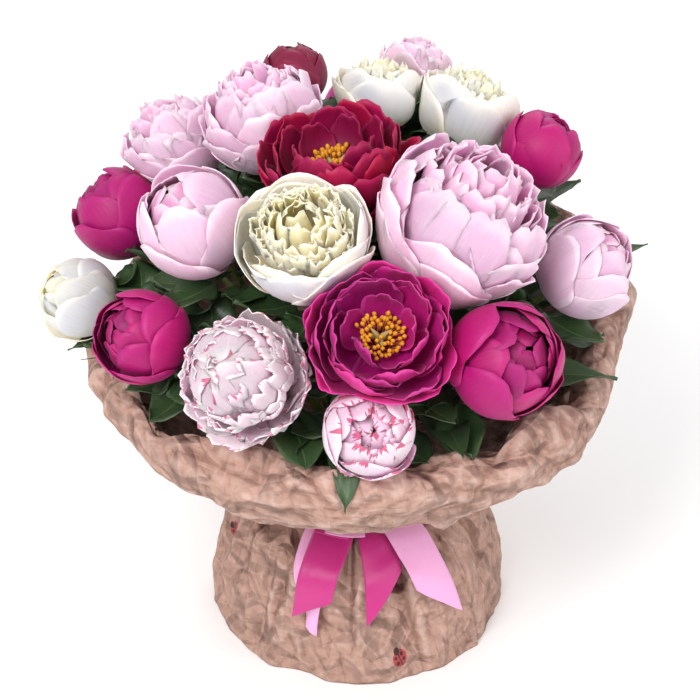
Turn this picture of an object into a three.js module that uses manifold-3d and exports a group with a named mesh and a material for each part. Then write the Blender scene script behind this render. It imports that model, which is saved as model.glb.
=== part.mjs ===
// A hand-tied bunch of peonies that stands on its own cut stems inside a flared paper wrap.
// Millimetres, +Z up. The pieces are laid out round the axis of the bunch, and at the end all of them
// move together so that the origin is on the surface, under the middle of the overall width and depth.
// Azimuth 0 is the front (-Y) and turns towards +X. A polar angle is measured from +Z.
import * as THREE from 'three';
import { mergeVertices } from 'three/addons/utils/BufferGeometryUtils.js';
import Module from 'manifold-3d';

const wasm = await Module();
wasm.setup();

// ---- driving dimensions ----
const CLEARANCE = 0.4; // left between pieces that touch in the real bunch

const STEM_DIAMETER = 5.4;
const STEM_GAP = 1.8; // between neighbouring stems at the binding
const STEM_SIDES = 6;
const STEM_STEPS = 11;
const RINGS = [3, 8, 12]; // stems in each ring at the binding, from the middle out
const BINDING_HEIGHT = 108; // of the waist where all stems are held
const FOOT_SPREAD = 60; // radius of the outer stems' feet
const SPIRAL_LEAD = 62; // degrees that a stem turns from the waist to its bloom
const STEM_RISE = 62; // straight pull of a stem out of the binding
const NECK_PULL = 46; // straight pull of a stem into its bloom

const DOME_RADIUS = 180; // from the middle of the dome to a usual bloom's centre
const DOME_SEAT = 26; // how far the middle of the dome lies under the collar's rim
const FACING_DROP = 50; // blooms face away from a point this far under the middle of the dome
const BLOOM_WAIST = 0.48; // height of a bloom's centre over its base, in diameters
const BLOOM_SIDES = 14;
const BLOOM_STEPS = 9;

const TWINE_DIAMETER = 2.2;
const TWINE_TURNS = 3;
const TWINE_SIDES = 24;

const WRAP_WALL = 1.2; // paper and the air in its creases
const GATHER_WALL = 3; // more where the paper is gathered at the neck
const GATHER_REACH = 14; // how far from the neck the gather runs out
const WRAP_SIDES = 44;
const WRAP_STEPS = 20;
const PLEATS = 8;
const EXTRA_PLEATS = 3; // how many more pleats the weaker second set has
const PLEAT_DEPTH = 1.45;
const PLEAT_REACH = 60; // how far out from the neck a pleat reaches its full depth
const SKIRT_RADIUS = 106;
const COLLAR_OVERHANG = -2; // of the rim past the usual bloom's centre
const COLLAR_RISE = 116; // from the neck up to the rim at its lowest
const COLLAR_LIP = 26; // how far the rim is rolled in
const BACK_RISE = 45; // how much higher the rim is at its highest
const BACK_RISE_AZIMUTH = 155;

const RIBBON_WIDTH = 26;
const RIBBON_STEPS = 10;
const RIBBON_THICKNESS = 0.8;
const RIBBON_GATHER = 0.3; // share of its width that a ribbon keeps at the knot
const BAND_HEIGHT = 6;
const BAND_SIDES = 36;

const LEAF_THICKNESS = 1;
const LEAF_STEPS = 11;
const STALK_WIDTH = 2.6;
const STALK_SHARE = 0.3; // of a leaf's length that is stalk
const BLADE_TROUGH = 0.15; // rise of a blade's edges, as a share of the distance from its midrib

// ---- sizes that follow from them ----
const STEM_PITCH = STEM_DIAMETER + STEM_GAP;
const ringRadii = [];
for (const count of RINGS) {
  const outsideLast = ringRadii.length ? ringRadii[ringRadii.length - 1] + STEM_PITCH : 0;
  ringRadii.push(Math.max(outsideLast, STEM_PITCH / (2 * Math.sin(Math.PI / count))));
}
const BUNDLE_RADIUS = ringRadii[ringRadii.length - 1];
const SPIRAL_SLOPE = Math.sqrt((FOOT_SPREAD / BUNDLE_RADIUS) ** 2 - 1) / BINDING_HEIGHT;

const TWINE_HEIGHT = TWINE_TURNS * TWINE_DIAMETER;
const BUNDLE_AT_TWINE = BUNDLE_RADIUS * Math.hypot(1, (SPIRAL_SLOPE * TWINE_HEIGHT) / 2);
const TWINE_INNER = BUNDLE_AT_TWINE + STEM_DIAMETER / 2 + 3 * CLEARANCE;
const TWINE_OUTER = TWINE_INNER + TWINE_DIAMETER;

const NECK_RADIUS = TWINE_OUTER + CLEARANCE + GATHER_WALL + WRAP_WALL;
const NECK_HEIGHT = BINDING_HEIGHT + 2;
const COLLAR_RADIUS = DOME_RADIUS + COLLAR_OVERHANG;
const COLLAR_HEIGHT = NECK_HEIGHT + COLLAR_RISE; // of the rim at its lowest
const DOME_HEIGHT = COLLAR_HEIGHT - DOME_SEAT;
const FACING_HEIGHT = DOME_HEIGHT - FACING_DROP;

// ---- small helpers ----
const radians = (degrees) => (degrees * Math.PI) / 180;

function fromPolar(azimuth, polar, reach) {
  const a = radians(azimuth);
  const p = radians(polar);
  const direction = new THREE.Vector3(Math.sin(a) * Math.sin(p), -Math.cos(a) * Math.sin(p), Math.cos(p));
  return direction.multiplyScalar(reach);
}

const toPoints = (outline) => outline.map(([r, z]) => new THREE.Vector2(r, z));

function onRing(azimuth, radius, height) {
  return fromPolar(azimuth, 90, radius).setZ(height);
}

// Moves every point of a geometry by a function, and joins the points that then meet.
function shaped(geometry, move) {
  geometry.deleteAttribute('normal');
  geometry.deleteAttribute('uv');
  const merged = mergeVertices(geometry, 1e-4);
  const position = merged.attributes.position;
  const point = new THREE.Vector3();
  for (let i = 0; i < position.count; i += 1) {
    point.fromBufferAttribute(position, i);
    move(point);
    position.setXYZ(i, point.x, point.y, point.z);
  }
  return merged;
}

function solidOf(geometry) {
  const merged = shaped(geometry, () => {});
  const vertProperties = new Float32Array(merged.attributes.position.array);
  const triVerts = new Uint32Array(merged.index.array);
  return new wasm.Manifold(new wasm.Mesh({ numProp: 3, vertProperties, triVerts }));
}

function geometryOf(solid) {
  const mesh = solid.getMesh();
  const geometry = new THREE.BufferGeometry();
  geometry.setAttribute('position', new THREE.BufferAttribute(new Float32Array(mesh.vertProperties), 3));
  geometry.setIndex(new THREE.BufferAttribute(new Uint32Array(mesh.triVerts), 1));
  return geometry;
}

const bunch = new THREE.Group();

function addPiece(name, geometry, color, roughness) {
  geometry.computeVertexNormals();
  const mesh = new THREE.Mesh(geometry, new THREE.MeshStandardMaterial({ color, roughness, metalness: 0 }));
  mesh.name = name;
  bunch.add(mesh);
}

// ---- the flowers: where each bloom sits on the dome, its size and its form ----
const COLOURS = {
  blush: 0xf0bcd2,
  pale: 0xf6dfe6,
  white: 0xf5f0e2,
  magenta: 0xb0126e,
  crimson: 0x9c0a3c,
  maroon: 0x6e0c34,
};

// Name, form, colour, diameter, azimuth, polar angle, and distance past the dome's usual radius.
const BLOOMS = [
  ['crimson_open', 'bowl', 'crimson', 92, -34, 8, -3],
  ['white_cup', 'crater', 'white', 80, -19, 32, 2],
  ['big_pink', 'full', 'blush', 104, 45, 32, 1],
  ['magenta_open', 'bowl', 'magenta', 86, 6, 50, 6],
  ['pink_left', 'bud', 'blush', 70, -63, 39, 0],
  ['pale_ruffled', 'full', 'pale', 82, -26, 61, 0],
  ['pink_top_left', 'full', 'blush', 75, -124, 24, 3],
  ['pink_back_left', 'full', 'blush', 66, -116, 45, 14],
  ['magenta_left', 'bud', 'magenta', 62, -102, 59, 8],
  ['white_left', 'bud', 'white', 54, -86, 72, 13],
  ['magenta_low_left', 'bud', 'magenta', 58, -55, 63, 1],
  ['streaked_front', 'bud', 'blush', 55, 3, 69, -6],
  ['magenta_right', 'bud', 'magenta', 70, 35, 60, 0],
  ['pink_right', 'bud', 'blush', 64, 76, 57, 0],
  ['magenta_top_right', 'bud', 'magenta', 52, 115, 46, 9],
  ['white_top_right', 'crater', 'white', 70, 142, 40, 12],
  ['white_top', 'crater', 'white', 60, 171, 35, 8],
  ['maroon_back', 'bud', 'maroon', 44, -155, 30, 17],
  ['pink_back', 'full', 'blush', 50, 163, 43, 28],
  ['rear_left', 'bud', 'pale', 64, -150, 58, 2],
  ['rear_middle', 'bud', 'magenta', 68, 177, 54, 2],
  ['rear_right', 'bud', 'blush', 62, 144, 55, 4],
  ['rear_far_left', 'bud', 'crimson', 54, -122, 67, 5],
];
const FLOWERS = BLOOMS.map(([name, form, colour, diameter, azimuth, polar, past]) => {
  const centre = fromPolar(azimuth, polar, DOME_RADIUS + past);
  centre.z += DOME_HEIGHT;
  const facing = centre.clone().sub(new THREE.Vector3(0, 0, FACING_HEIGHT)).normalize();
  const base = centre.clone().addScaledVector(facing, -BLOOM_WAIST * diameter);
  return { name, form, colour, diameter, azimuth, polar, centre, facing, base };
});

// Half outlines from the base up to the top, as shares of the diameter. All start with the same foot.
const BLOOM_FOOT = [[0, 0], [0.14, 0.01]];
const FORMS = {
  bud: [...BLOOM_FOOT, [0.36, 0.12], [0.5, 0.42], [0.43, 0.72], [0.24, 0.91], [0, 0.95]],
  full: [...BLOOM_FOOT, [0.4, 0.12], [0.5, 0.36], [0.46, 0.62], [0.28, 0.83], [0, 0.88]],
  crater: [...BLOOM_FOOT, [0.38, 0.14], [0.5, 0.42], [0.46, 0.62], [0.38, 0.64], [0.2, 0.62], [0, 0.58]],
  bowl: [...BLOOM_FOOT, [0.37, 0.14], [0.5, 0.46], [0.47, 0.66], [0.36, 0.65], [0.2, 0.56], [0, 0.54]],
};
const PETAL_LOBES = 5;
const LOBE_DEPTH = 0.035;

// Neighbouring blooms press against each other on a plane between them, in proportion to their sizes.
function pressAgainstNeighbours(point, flower) {
  for (const other of FLOWERS) {
    if (other === flower) continue;
    const towards = other.centre.clone().sub(flower.centre);
    const distance = towards.length();
    const limit = (distance * flower.diameter) / (flower.diameter + other.diameter) - CLEARANCE / 2;
    towards.divideScalar(distance);
    const beyond = point.clone().sub(flower.centre).dot(towards) - limit;
    if (beyond > 0) point.addScaledVector(towards, -beyond);
  }
}

function bloomGeometry(flower) {
  const outline = new THREE.SplineCurve(FORMS[flower.form].map(([r, h]) => new THREE.Vector2(r, h)));
  const profile = outline.getPoints(BLOOM_STEPS).map((p) => new THREE.Vector2(Math.max(p.x, 0), p.y));
  profile[0].x = 0;
  profile[profile.length - 1].x = 0;
  const lathe = new THREE.LatheGeometry(profile, BLOOM_SIDES);
  lathe.rotateX(Math.PI / 2);
  lathe.scale(flower.diameter, flower.diameter, flower.diameter);
  const turn = new THREE.Quaternion().setFromUnitVectors(new THREE.Vector3(0, 0, 1), flower.facing);
  return shaped(lathe, (point) => {
    const lobe = Math.cos(PETAL_LOBES * Math.atan2(point.y, point.x));
    const width = 1 - LOBE_DEPTH * (1 - lobe) * Math.min(1, point.z / (BLOOM_WAIST * flower.diameter));
    point.x *= width;
    point.y *= width;
    point.applyQuaternion(turn).add(flower.base);
    pressAgainstNeighbours(point, flower);
  });
}

// ---- the stems: a spiral bundle, straight below the binding and curved out to the blooms above it ----
// The inner rings feed the top of the dome, and each ring keeps its blooms in order round the bunch.
function placeStemsAtBinding() {
  const fromTheTop = [...FLOWERS].sort((a, b) => a.polar - b.polar);
  for (const [ring, count] of RINGS.entries()) {
    const members = fromTheTop.splice(0, count).sort((a, b) => a.azimuth - b.azimuth);
    const step = 360 / count;
    const lead = members.reduce((sum, flower, k) => sum + flower.azimuth - k * step, 0) / count;
    members.forEach((flower, k) => {
      flower.atBinding = onRing(lead + k * step - SPIRAL_LEAD, ringRadii[ring], BINDING_HEIGHT);
    });
  }
}

function stemPath(flower, below) {
  const waist = flower.atBinding;
  const along = new THREE.Vector3(-waist.y * SPIRAL_SLOPE, waist.x * SPIRAL_SLOPE, 1);
  const foot = waist.clone().addScaledVector(along, -(BINDING_HEIGHT + below));
  const end = flower.base.clone().addScaledVector(flower.facing, -CLEARANCE);
  const path = new THREE.CurvePath();
  path.add(new THREE.LineCurve3(foot, waist));
  path.add(
    new THREE.CubicBezierCurve3(
      waist,
      waist.clone().addScaledVector(along.clone().normalize(), STEM_RISE),
      end.clone().addScaledVector(flower.facing, -NECK_PULL),
      end,
    ),
  );
  return path;
}

function roundSection(diameter, sides) {
  const section = new THREE.Shape();
  for (let k = 0; k < sides; k += 1) {
    const a = (2 * Math.PI * k) / sides;
    section.lineTo((diameter / 2) * Math.cos(a), (diameter / 2) * Math.sin(a));
  }
  return section;
}

// Each stem is swept from below the surface and cut off level with it, so it stands on its cut end.
const CUT_DEPTH = 8;
const CUT_BLOCK = 4 * FOOT_SPREAD;
const groundBlock = new THREE.BoxGeometry(CUT_BLOCK, CUT_BLOCK, 4 * CUT_DEPTH);
groundBlock.translate(0, 0, -2 * CUT_DEPTH);
const ground = solidOf(groundBlock);

function stemGeometry(flower) {
  const sweep = new THREE.ExtrudeGeometry(roundSection(STEM_DIAMETER, STEM_SIDES), {
    steps: STEM_STEPS,
    bevelEnabled: false,
    extrudePath: stemPath(flower, CUT_DEPTH),
  });
  return geometryOf(solidOf(sweep).subtract(ground));
}

// ---- the twine: turns stacked round the bundle, as one closed outline spun about the axis ----
function twineGeometry() {
  const low = BINDING_HEIGHT - TWINE_HEIGHT / 2;
  const groove = TWINE_INNER + TWINE_DIAMETER * 0.7; // radius of the grooves between the turns
  const profile = toPoints([[TWINE_INNER, low], [TWINE_INNER + TWINE_DIAMETER / 2, low]]);
  for (let turn = 0; turn < TWINE_TURNS; turn += 1) {
    const middle = low + (turn + 0.5) * TWINE_DIAMETER;
    profile.push(new THREE.Vector2(TWINE_OUTER, middle));
    profile.push(new THREE.Vector2(groove, middle + TWINE_DIAMETER / 2));
  }
  profile.push(new THREE.Vector2(TWINE_INNER, low + TWINE_HEIGHT));
  profile.push(profile[0].clone());
  const lathe = new THREE.LatheGeometry(profile, TWINE_SIDES);
  lathe.rotateX(Math.PI / 2);
  return shaped(lathe, () => {});
}

// ---- the wrap: one sheet of paper, a skirt below the binding and a collar above it ----
// A point part of the way from the neck out to an edge, by shares of the radius and of the height.
function betweenNeckAnd(edgeRadius, edgeHeight, outShare, upShare) {
  return [
    THREE.MathUtils.lerp(NECK_RADIUS, edgeRadius, outShare),
    THREE.MathUtils.lerp(NECK_HEIGHT, edgeHeight, upShare),
  ];
}
const skirtPoint = (outShare, downShare) => betweenNeckAnd(SKIRT_RADIUS, 0, outShare, downShare);
const collarPoint = (outShare, upShare) => betweenNeckAnd(COLLAR_RADIUS, COLLAR_HEIGHT, outShare, upShare);

// The outside of the paper, from the hem up over the shoulder of the skirt to the neck.
const NECK_REACH = 6; // how far above and below its middle the neck stays straight
const SKIRT_OUTLINE = [
  skirtPoint(1, 1),
  skirtPoint(0.95, 0.73),
  skirtPoint(0.86, 0.49),
  skirtPoint(0.71, 0.27),
  skirtPoint(0.45, 0.155),
  [NECK_RADIUS + 13, NECK_HEIGHT - 2 * NECK_REACH],
  [NECK_RADIUS + 1, NECK_HEIGHT - NECK_REACH],
  [NECK_RADIUS, NECK_HEIGHT],
];
// From the neck out along the underside of the collar, over the rim and down its rolled lip.
const COLLAR_OUTLINE = [
  [NECK_RADIUS + 1, NECK_HEIGHT + NECK_REACH],
  [NECK_RADIUS + 12, NECK_HEIGHT + 2 * NECK_REACH],
  collarPoint(0.235, 0.165),
  collarPoint(0.475, 0.285),
  collarPoint(0.69, 0.457),
  collarPoint(0.866, 0.62),
  collarPoint(0.966, 0.776),
  collarPoint(1, 0.905),
  [COLLAR_RADIUS - 5, COLLAR_HEIGHT],
  [COLLAR_RADIUS - 16, COLLAR_HEIGHT + 1],
  [COLLAR_RADIUS - COLLAR_LIP, COLLAR_HEIGHT - 4],
];

const skirtCurve = new THREE.SplineCurve(toPoints(SKIRT_OUTLINE));
const wrapCurve = new THREE.SplineCurve(toPoints([...SKIRT_OUTLINE, ...COLLAR_OUTLINE]));

// The right-hand side of the outline is the outside of the paper.
function outwardNormal(curve, share) {
  const tangent = curve.getTangent(share);
  return new THREE.Vector2(tangent.y, -tangent.x);
}

function gatherAt(point) {
  const away = Math.hypot(point.x - NECK_RADIUS, point.y - NECK_HEIGHT) / GATHER_REACH;
  return GATHER_WALL * Math.exp(-away * away);
}

// Pleats push the paper out and in round the bunch, and the rim rises towards the back.
function foldPaper(point) {
  const radius = Math.hypot(point.x, point.y);
  const azimuth = Math.atan2(point.x, -point.y);
  const depth = PLEAT_DEPTH * THREE.MathUtils.smoothstep(radius - NECK_RADIUS, 0, PLEAT_REACH);
  const wave = Math.cos(PLEATS * azimuth) + Math.cos((PLEATS + EXTRA_PLEATS) * azimuth + 1) / 2;
  const scale = 1 + (depth * wave) / radius;
  const share = Math.max(0, (point.z - NECK_HEIGHT) / COLLAR_RISE);
  const backness = ((1 + Math.cos(azimuth - radians(BACK_RISE_AZIMUTH))) / 2) ** 2;
  const lift = BACK_RISE * backness * share * Math.sqrt(share);
  point.set(point.x * scale, point.y * scale, point.z + lift);
}

function wrapGeometry() {
  const outside = [];
  const inside = [];
  for (let i = 0; i <= WRAP_STEPS; i += 1) {
    const point = wrapCurve.getPoint(i / WRAP_STEPS);
    const wall = WRAP_WALL + gatherAt(point);
    outside.push(point);
    inside.unshift(point.clone().addScaledVector(outwardNormal(wrapCurve, i / WRAP_STEPS), -wall));
  }
  inside[inside.length - 1].y = 0;
  const lathe = new THREE.LatheGeometry([...outside, ...inside, outside[0].clone()], WRAP_SIDES);
  lathe.rotateX(Math.PI / 2);
  return shaped(lathe, foldPaper);
}

// ---- the ribbons: a band round the neck and tails that lie over the skirt ----
const RIBBONS = [
  {
    name: 'magenta_ribbon',
    colour: 0xb01a78,
    lift: 4 * CLEARANCE,
    tails: [
      { azimuth: -18, drift: -7, end: 0.6, slant: -12 },
      { azimuth: 20, drift: -6, end: 0.58, slant: 10 },
    ],
  },
  {
    name: 'pink_ribbon',
    colour: 0xe88cc4,
    lift: 7 * CLEARANCE + 2 * RIBBON_THICKNESS,
    tails: [
      { azimuth: -33, drift: -3, end: 0.46, slant: 9 },
      { azimuth: 38, drift: 11, end: 0.62, slant: -12 },
    ],
  },
];

// A point on the skirt, counted from the neck (0) to the hem (1), lifted off the paper.
function onSkirt(azimuth, share, lift) {
  const flat = skirtCurve.getPointAt(1 - share);
  flat.addScaledVector(outwardNormal(skirtCurve, skirtCurve.getUtoTmapping(1 - share)), lift);
  const point = onRing(azimuth, flat.x, flat.y);
  foldPaper(point);
  return point;
}

function tailGeometry(tail, lift) {
  const strip = new THREE.BoxGeometry(RIBBON_WIDTH, 1, RIBBON_THICKNESS, 3, RIBBON_STEPS, 1);
  const skirtLength = skirtCurve.getLength();
  return shaped(strip, (point) => {
    const along = 0.5 - point.y;
    const opening = THREE.MathUtils.smoothstep(along, 0, 0.5);
    const across = point.x * THREE.MathUtils.lerp(RIBBON_GATHER, 1, opening);
    const slant = (tail.slant * (point.x / RIBBON_WIDTH) * along ** 4) / skirtLength;
    const share = tail.end * along + slant;
    const middle = tail.azimuth + tail.drift * along;
    const radius = skirtCurve.getPointAt(1 - share).x;
    const aside = THREE.MathUtils.radToDeg(across / radius);
    point.copy(onSkirt(middle + aside, share, lift + RIBBON_THICKNESS / 2 + point.z));
  });
}

function bandGeometry(lift) {
  const inner = NECK_RADIUS + lift - RIBBON_THICKNESS / 4;
  const outer = NECK_RADIUS + lift + 1.5 * RIBBON_THICKNESS;
  const low = NECK_HEIGHT - BAND_HEIGHT / 2;
  const high = low + BAND_HEIGHT;
  const corners = [[inner, low], [outer, low], [outer, high], [inner, high], [inner, low]];
  const lathe = new THREE.LatheGeometry(toPoints(corners), BAND_SIDES);
  lathe.rotateX(Math.PI / 2);
  return lathe;
}

function ribbonGeometry(ribbon) {
  let solid = solidOf(bandGeometry(ribbon.lift));
  for (const tail of ribbon.tails) solid = solid.add(solidOf(tailGeometry(tail, ribbon.lift)));
  return geometryOf(solid);
}

// ---- the leaves: each grows from one stem on a stalk, and its blade ends at a tip on the dome's edge ----
// Name, flower, rise of its root over the middle of the dome, azimuth of its tip, how far the tip reaches
// past the collar's rim, how far it rises over it, the arch of its spine and the width of its blade.
const FOLIAGE = [
  ['leaf_front', 'streaked_front', -12, -2, 11, -4, 40, 38],
  ['leaf_front_left', 'pale_ruffled', 5, -13, -18, 14, 6, 34],
  ['leaf_front_right', 'magenta_right', 0, 22, -6, 14, 14, 34],
  ['leaf_right_low', 'magenta_right', 22, 62, 8, 20, 12, 36],
  ['leaf_right_high', 'pink_right', 14, 96, 17, 54, 14, 40],
  ['leaf_left_low', 'magenta_low_left', 5, -64, -6, 14, 12, 38],
  ['leaf_left_high', 'white_left', -10, -81, 14, 3, 30, 30],
  ['leaf_back_left', 'rear_left', 14, -136, 10, 38, 12, 40],
  ['leaf_back_middle', 'rear_middle', 14, -165, 10, 50, 12, 40],
  ['leaf_back_right', 'rear_right', 14, 124, 12, 54, 12, 38],
];
const LEAVES = FOLIAGE.map(([name, stem, rise, azimuth, past, over, arch, width]) => ({
  name,
  flower: FLOWERS.find((one) => one.name === stem),
  height: DOME_HEIGHT + rise,
  tip: onRing(azimuth, COLLAR_RADIUS + past, COLLAR_HEIGHT + over),
  arch,
  width,
}));

function atHeight(path, height) {
  let low = 0;
  let high = 1;
  while (high - low > 1e-4) {
    const middle = (low + high) / 2;
    if (path.getPoint(middle).z < height) low = middle;
    else high = middle;
  }
  return { point: path.getPoint(high), along: path.getTangent(high) };
}

function bladeWidth(leaf, along) {
  if (along < STALK_SHARE) return STALK_WIDTH;
  const share = (along - STALK_SHARE) / (1 - STALK_SHARE);
  const blade = leaf.width * Math.sin(Math.PI * share ** 0.8) ** 0.8; // widest before its middle
  const midrib = STALK_WIDTH * (1 - share * 0.6);
  return Math.max(midrib, blade);
}

function leafGeometry(leaf) {
  const { point: root, along: stemDirection } = atHeight(stemPath(leaf.flower, 0), leaf.height);
  const outwards = leaf.tip.clone().sub(root).projectOnPlane(stemDirection).normalize();
  root.addScaledVector(outwards, STEM_DIAMETER / 2 + STALK_WIDTH / 2 + CLEARANCE);
  const bend = root.clone().lerp(leaf.tip, 0.6);
  bend.z += leaf.arch;
  const spine = new THREE.QuadraticBezierCurve3(root, bend, leaf.tip);
  const strip = new THREE.BoxGeometry(1, 1, LEAF_THICKNESS, 2, LEAF_STEPS, 1);
  return shaped(strip, (point) => {
    const along = point.y + 0.5;
    const tangent = spine.getTangentAt(along);
    const side = new THREE.Vector3(0, 0, 1).cross(tangent).normalize();
    const up = tangent.cross(side);
    const across = point.x * bladeWidth(leaf, along);
    const trough = Math.abs(across) * BLADE_TROUGH;
    point.copy(spine.getPointAt(along).addScaledVector(side, -across).addScaledVector(up, point.z + trough));
  });
}

// ---- the whole bunch ----
placeStemsAtBinding();
for (const flower of FLOWERS) {
  addPiece(`${flower.name}_bloom`, bloomGeometry(flower), COLOURS[flower.colour], 0.7);
  addPiece(`${flower.name}_stem`, stemGeometry(flower), 0x5d7a3a, 0.6);
}
for (const leaf of LEAVES) addPiece(leaf.name, leafGeometry(leaf), 0x24401f, 0.5);
addPiece('binding_twine', twineGeometry(), 0xb89b6a, 0.9);
addPiece('kraft_wrap', wrapGeometry(), 0xc4a08a, 0.85);
for (const ribbon of RIBBONS) addPiece(ribbon.name, ribbonGeometry(ribbon), ribbon.colour, 0.35);

const middle = new THREE.Box3().setFromObject(bunch, true).getCenter(new THREE.Vector3());
for (const piece of bunch.children) piece.position.set(-middle.x, -middle.y, 0);

export default bunch;
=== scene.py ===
"""The looks of a hand-tied bunch of peonies in a kraft paper wrap, built round its fixed frame.

Everything is in metres, +Z up, and the front of the bunch faces -Y. Each bloom sits on the cut-off top
end of its own stem in the frame and faces the way that the stem points there.
"""

import logging
import math
from dataclasses import dataclass, field, replace
from enum import Enum
from functools import cache

import bpy
import numpy as np
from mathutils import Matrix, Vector, noise


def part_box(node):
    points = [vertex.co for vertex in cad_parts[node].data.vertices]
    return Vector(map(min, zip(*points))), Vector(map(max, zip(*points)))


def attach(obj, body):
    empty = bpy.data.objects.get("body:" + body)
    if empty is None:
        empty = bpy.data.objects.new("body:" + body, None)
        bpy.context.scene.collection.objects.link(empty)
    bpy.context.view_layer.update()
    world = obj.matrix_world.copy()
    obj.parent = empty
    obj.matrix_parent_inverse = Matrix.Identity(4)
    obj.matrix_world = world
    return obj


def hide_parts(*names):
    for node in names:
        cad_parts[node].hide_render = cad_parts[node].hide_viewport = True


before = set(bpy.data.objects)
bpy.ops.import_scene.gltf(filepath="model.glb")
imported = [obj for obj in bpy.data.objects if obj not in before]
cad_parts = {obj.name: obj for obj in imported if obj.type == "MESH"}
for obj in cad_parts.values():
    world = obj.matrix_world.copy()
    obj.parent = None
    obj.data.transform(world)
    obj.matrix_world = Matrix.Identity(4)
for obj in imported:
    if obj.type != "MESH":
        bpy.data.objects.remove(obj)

LOG = logging.getLogger("peonies")
TAU = math.tau
MM = 0.001
BODY = "root"
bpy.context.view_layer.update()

Array = np.ndarray
Piece = bpy.types.Object
Material = bpy.types.Material
Socket = bpy.types.NodeSocket
Colour = tuple[float, float, float]


# --------------------------------------------------
# Small helpers
# --------------------------------------------------
def smoothstep(low: float, high: float, value: Array) -> Array:
    """Blend from 0 at low to 1 at high."""
    share = np.clip((np.asarray(value, float) - low) / (high - low), 0.0, 1.0)
    return share * share * (3.0 - 2.0 * share)


def unit(vector: Array) -> Array:
    """Scale a vector to length 1."""
    return vector / np.linalg.norm(vector)


def turned(x: Array, y: Array, angle: float) -> tuple[Array, Array]:
    """Turn a pair of coordinates from x towards y by an angle in radians."""
    return x * math.cos(angle) - y * math.sin(angle), x * math.sin(angle) + y * math.cos(angle)


def deselect_all() -> None:
    """Leave nothing selected, so that an operator acts only on what is selected next."""
    if bpy.context.object and bpy.context.object.mode != "OBJECT":
        bpy.ops.object.mode_set(mode="OBJECT")
    bpy.ops.object.select_all(action="DESELECT")


def make_active(piece: Piece) -> None:
    """Select one object alone and make it the active one."""
    deselect_all()
    piece.select_set(True)
    bpy.context.view_layer.objects.active = piece


def apply_modifier(piece: Piece, kind: str, **settings: float | str | bool) -> None:
    """Add a modifier to a piece and apply it.

    Args:
        piece: the object to change.
        kind: Blender's name for the modifier type.
        settings: values for the modifier's own fields.
    """
    make_active(piece)
    modifier = piece.modifiers.new(kind.title(), kind)
    for key, value in settings.items():
        setattr(modifier, key, value)
    bpy.ops.object.modifier_apply(modifier=modifier.name)


def mesh_points(mesh: bpy.types.Mesh) -> Array:
    """Read a mesh's vertices as an array of points."""
    flat = np.empty(len(mesh.vertices) * 3, np.float32)
    mesh.vertices.foreach_get("co", flat)
    return flat.reshape(-1, 3).astype(float)


def set_mesh_points(mesh: bpy.types.Mesh, points: Array) -> None:
    """Move a mesh's vertices to an array of points."""
    mesh.vertices.foreach_set("co", np.asarray(points, np.float32).ravel())
    mesh.update()


def thicken(piece: Piece, thickness: float, material: Material) -> None:
    """Give a pressed sheet its one material and its thickness."""
    piece.data.materials.clear()
    piece.data.materials.append(material)
    apply_modifier(piece, "SOLIDIFY", thickness=thickness, offset=0.0)


def finish_piece(piece: Piece, slot: str | None, *nodes: str) -> Piece:
    """Smooth a finished piece, let it ride on the bunch and hide the frame's nodes that it stands for.

    Args:
        piece: the finished object.
        slot: not used.
        nodes: the frame's nodes that the piece replaces.

    Returns:
        The same piece.
    """
    make_active(piece)
    bpy.ops.object.shade_smooth()
    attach(piece, BODY)
    if nodes:
        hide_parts(*nodes)
    LOG.info("%s: %d faces", piece.name, len(piece.data.polygons))
    return piece


AXIS_LOW, AXIS_HIGH = (np.array(corner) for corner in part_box("binding_twine"))
AXIS = (AXIS_LOW + AXIS_HIGH) / 2.0
AXIS_FOOT = np.array([AXIS[0], AXIS[1], 0.0])
TIE = AXIS_FOOT + np.array([0.0, 0.0, AXIS[2]])
VIEW_ELEVATION = 35.0  # degrees that the bunch is seen from above
GOLDEN_ANGLE = 137.5


def round_axis(azimuth: Array, radius: Array, height: Array) -> Array:
    """Place points round the bunch's axis.

    Args:
        azimuth: radians from the front, turning towards +X.
        radius: distance from the axis.
        height: above the surface that the bunch stands on.

    Returns:
        The points.
    """
    return np.stack([radius * np.sin(azimuth), -radius * np.cos(azimuth), height], axis=-1) + AXIS_FOOT


# --------------------------------------------------
# Blanks: the flat grids that petals, leaves, paper and ribbon are pressed from
# --------------------------------------------------
class Blank:
    """A flat grid of faces, made once and copied for every piece that is pressed from it."""

    def __init__(self, columns: int, rows: int) -> None:
        """Make the grid.

        Args:
            columns: faces across.
            rows: faces from the base to the tip.
        """
        deselect_all()
        bpy.ops.mesh.primitive_grid_add(x_subdivisions=columns, y_subdivisions=rows, size=2)
        grid = bpy.context.object
        self.mesh = grid.data
        self.mesh.name = f"blank_{columns}_{rows}"
        self.mesh.uv_layers[0].name = "UVMap"
        bpy.data.objects.remove(grid)
        flat = mesh_points(self.mesh)
        self.across = flat[:, 0]
        self.along = (flat[:, 1] + 1.0) / 2.0

    def copy(self, name: str, points: Array, **values: float | Array) -> Piece:
        """Copy the grid into shape.

        Args:
            name: the new object's name.
            points: where each vertex goes.
            values: attributes to store on the vertices.

        Returns:
            The new object, with a mesh of its own.
        """
        mesh = self.mesh.copy()
        mesh.name = name
        set_mesh_points(mesh, points)
        for key, value in values.items():
            attribute = mesh.attributes.new(key, "FLOAT", "POINT")
            filled = np.broadcast_to(np.asarray(value, np.float32), (len(points),))
            attribute.data.foreach_set("value", np.ascontiguousarray(filled))
        piece = bpy.data.objects.new(name, mesh)
        bpy.context.scene.collection.objects.link(piece)
        return piece


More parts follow.
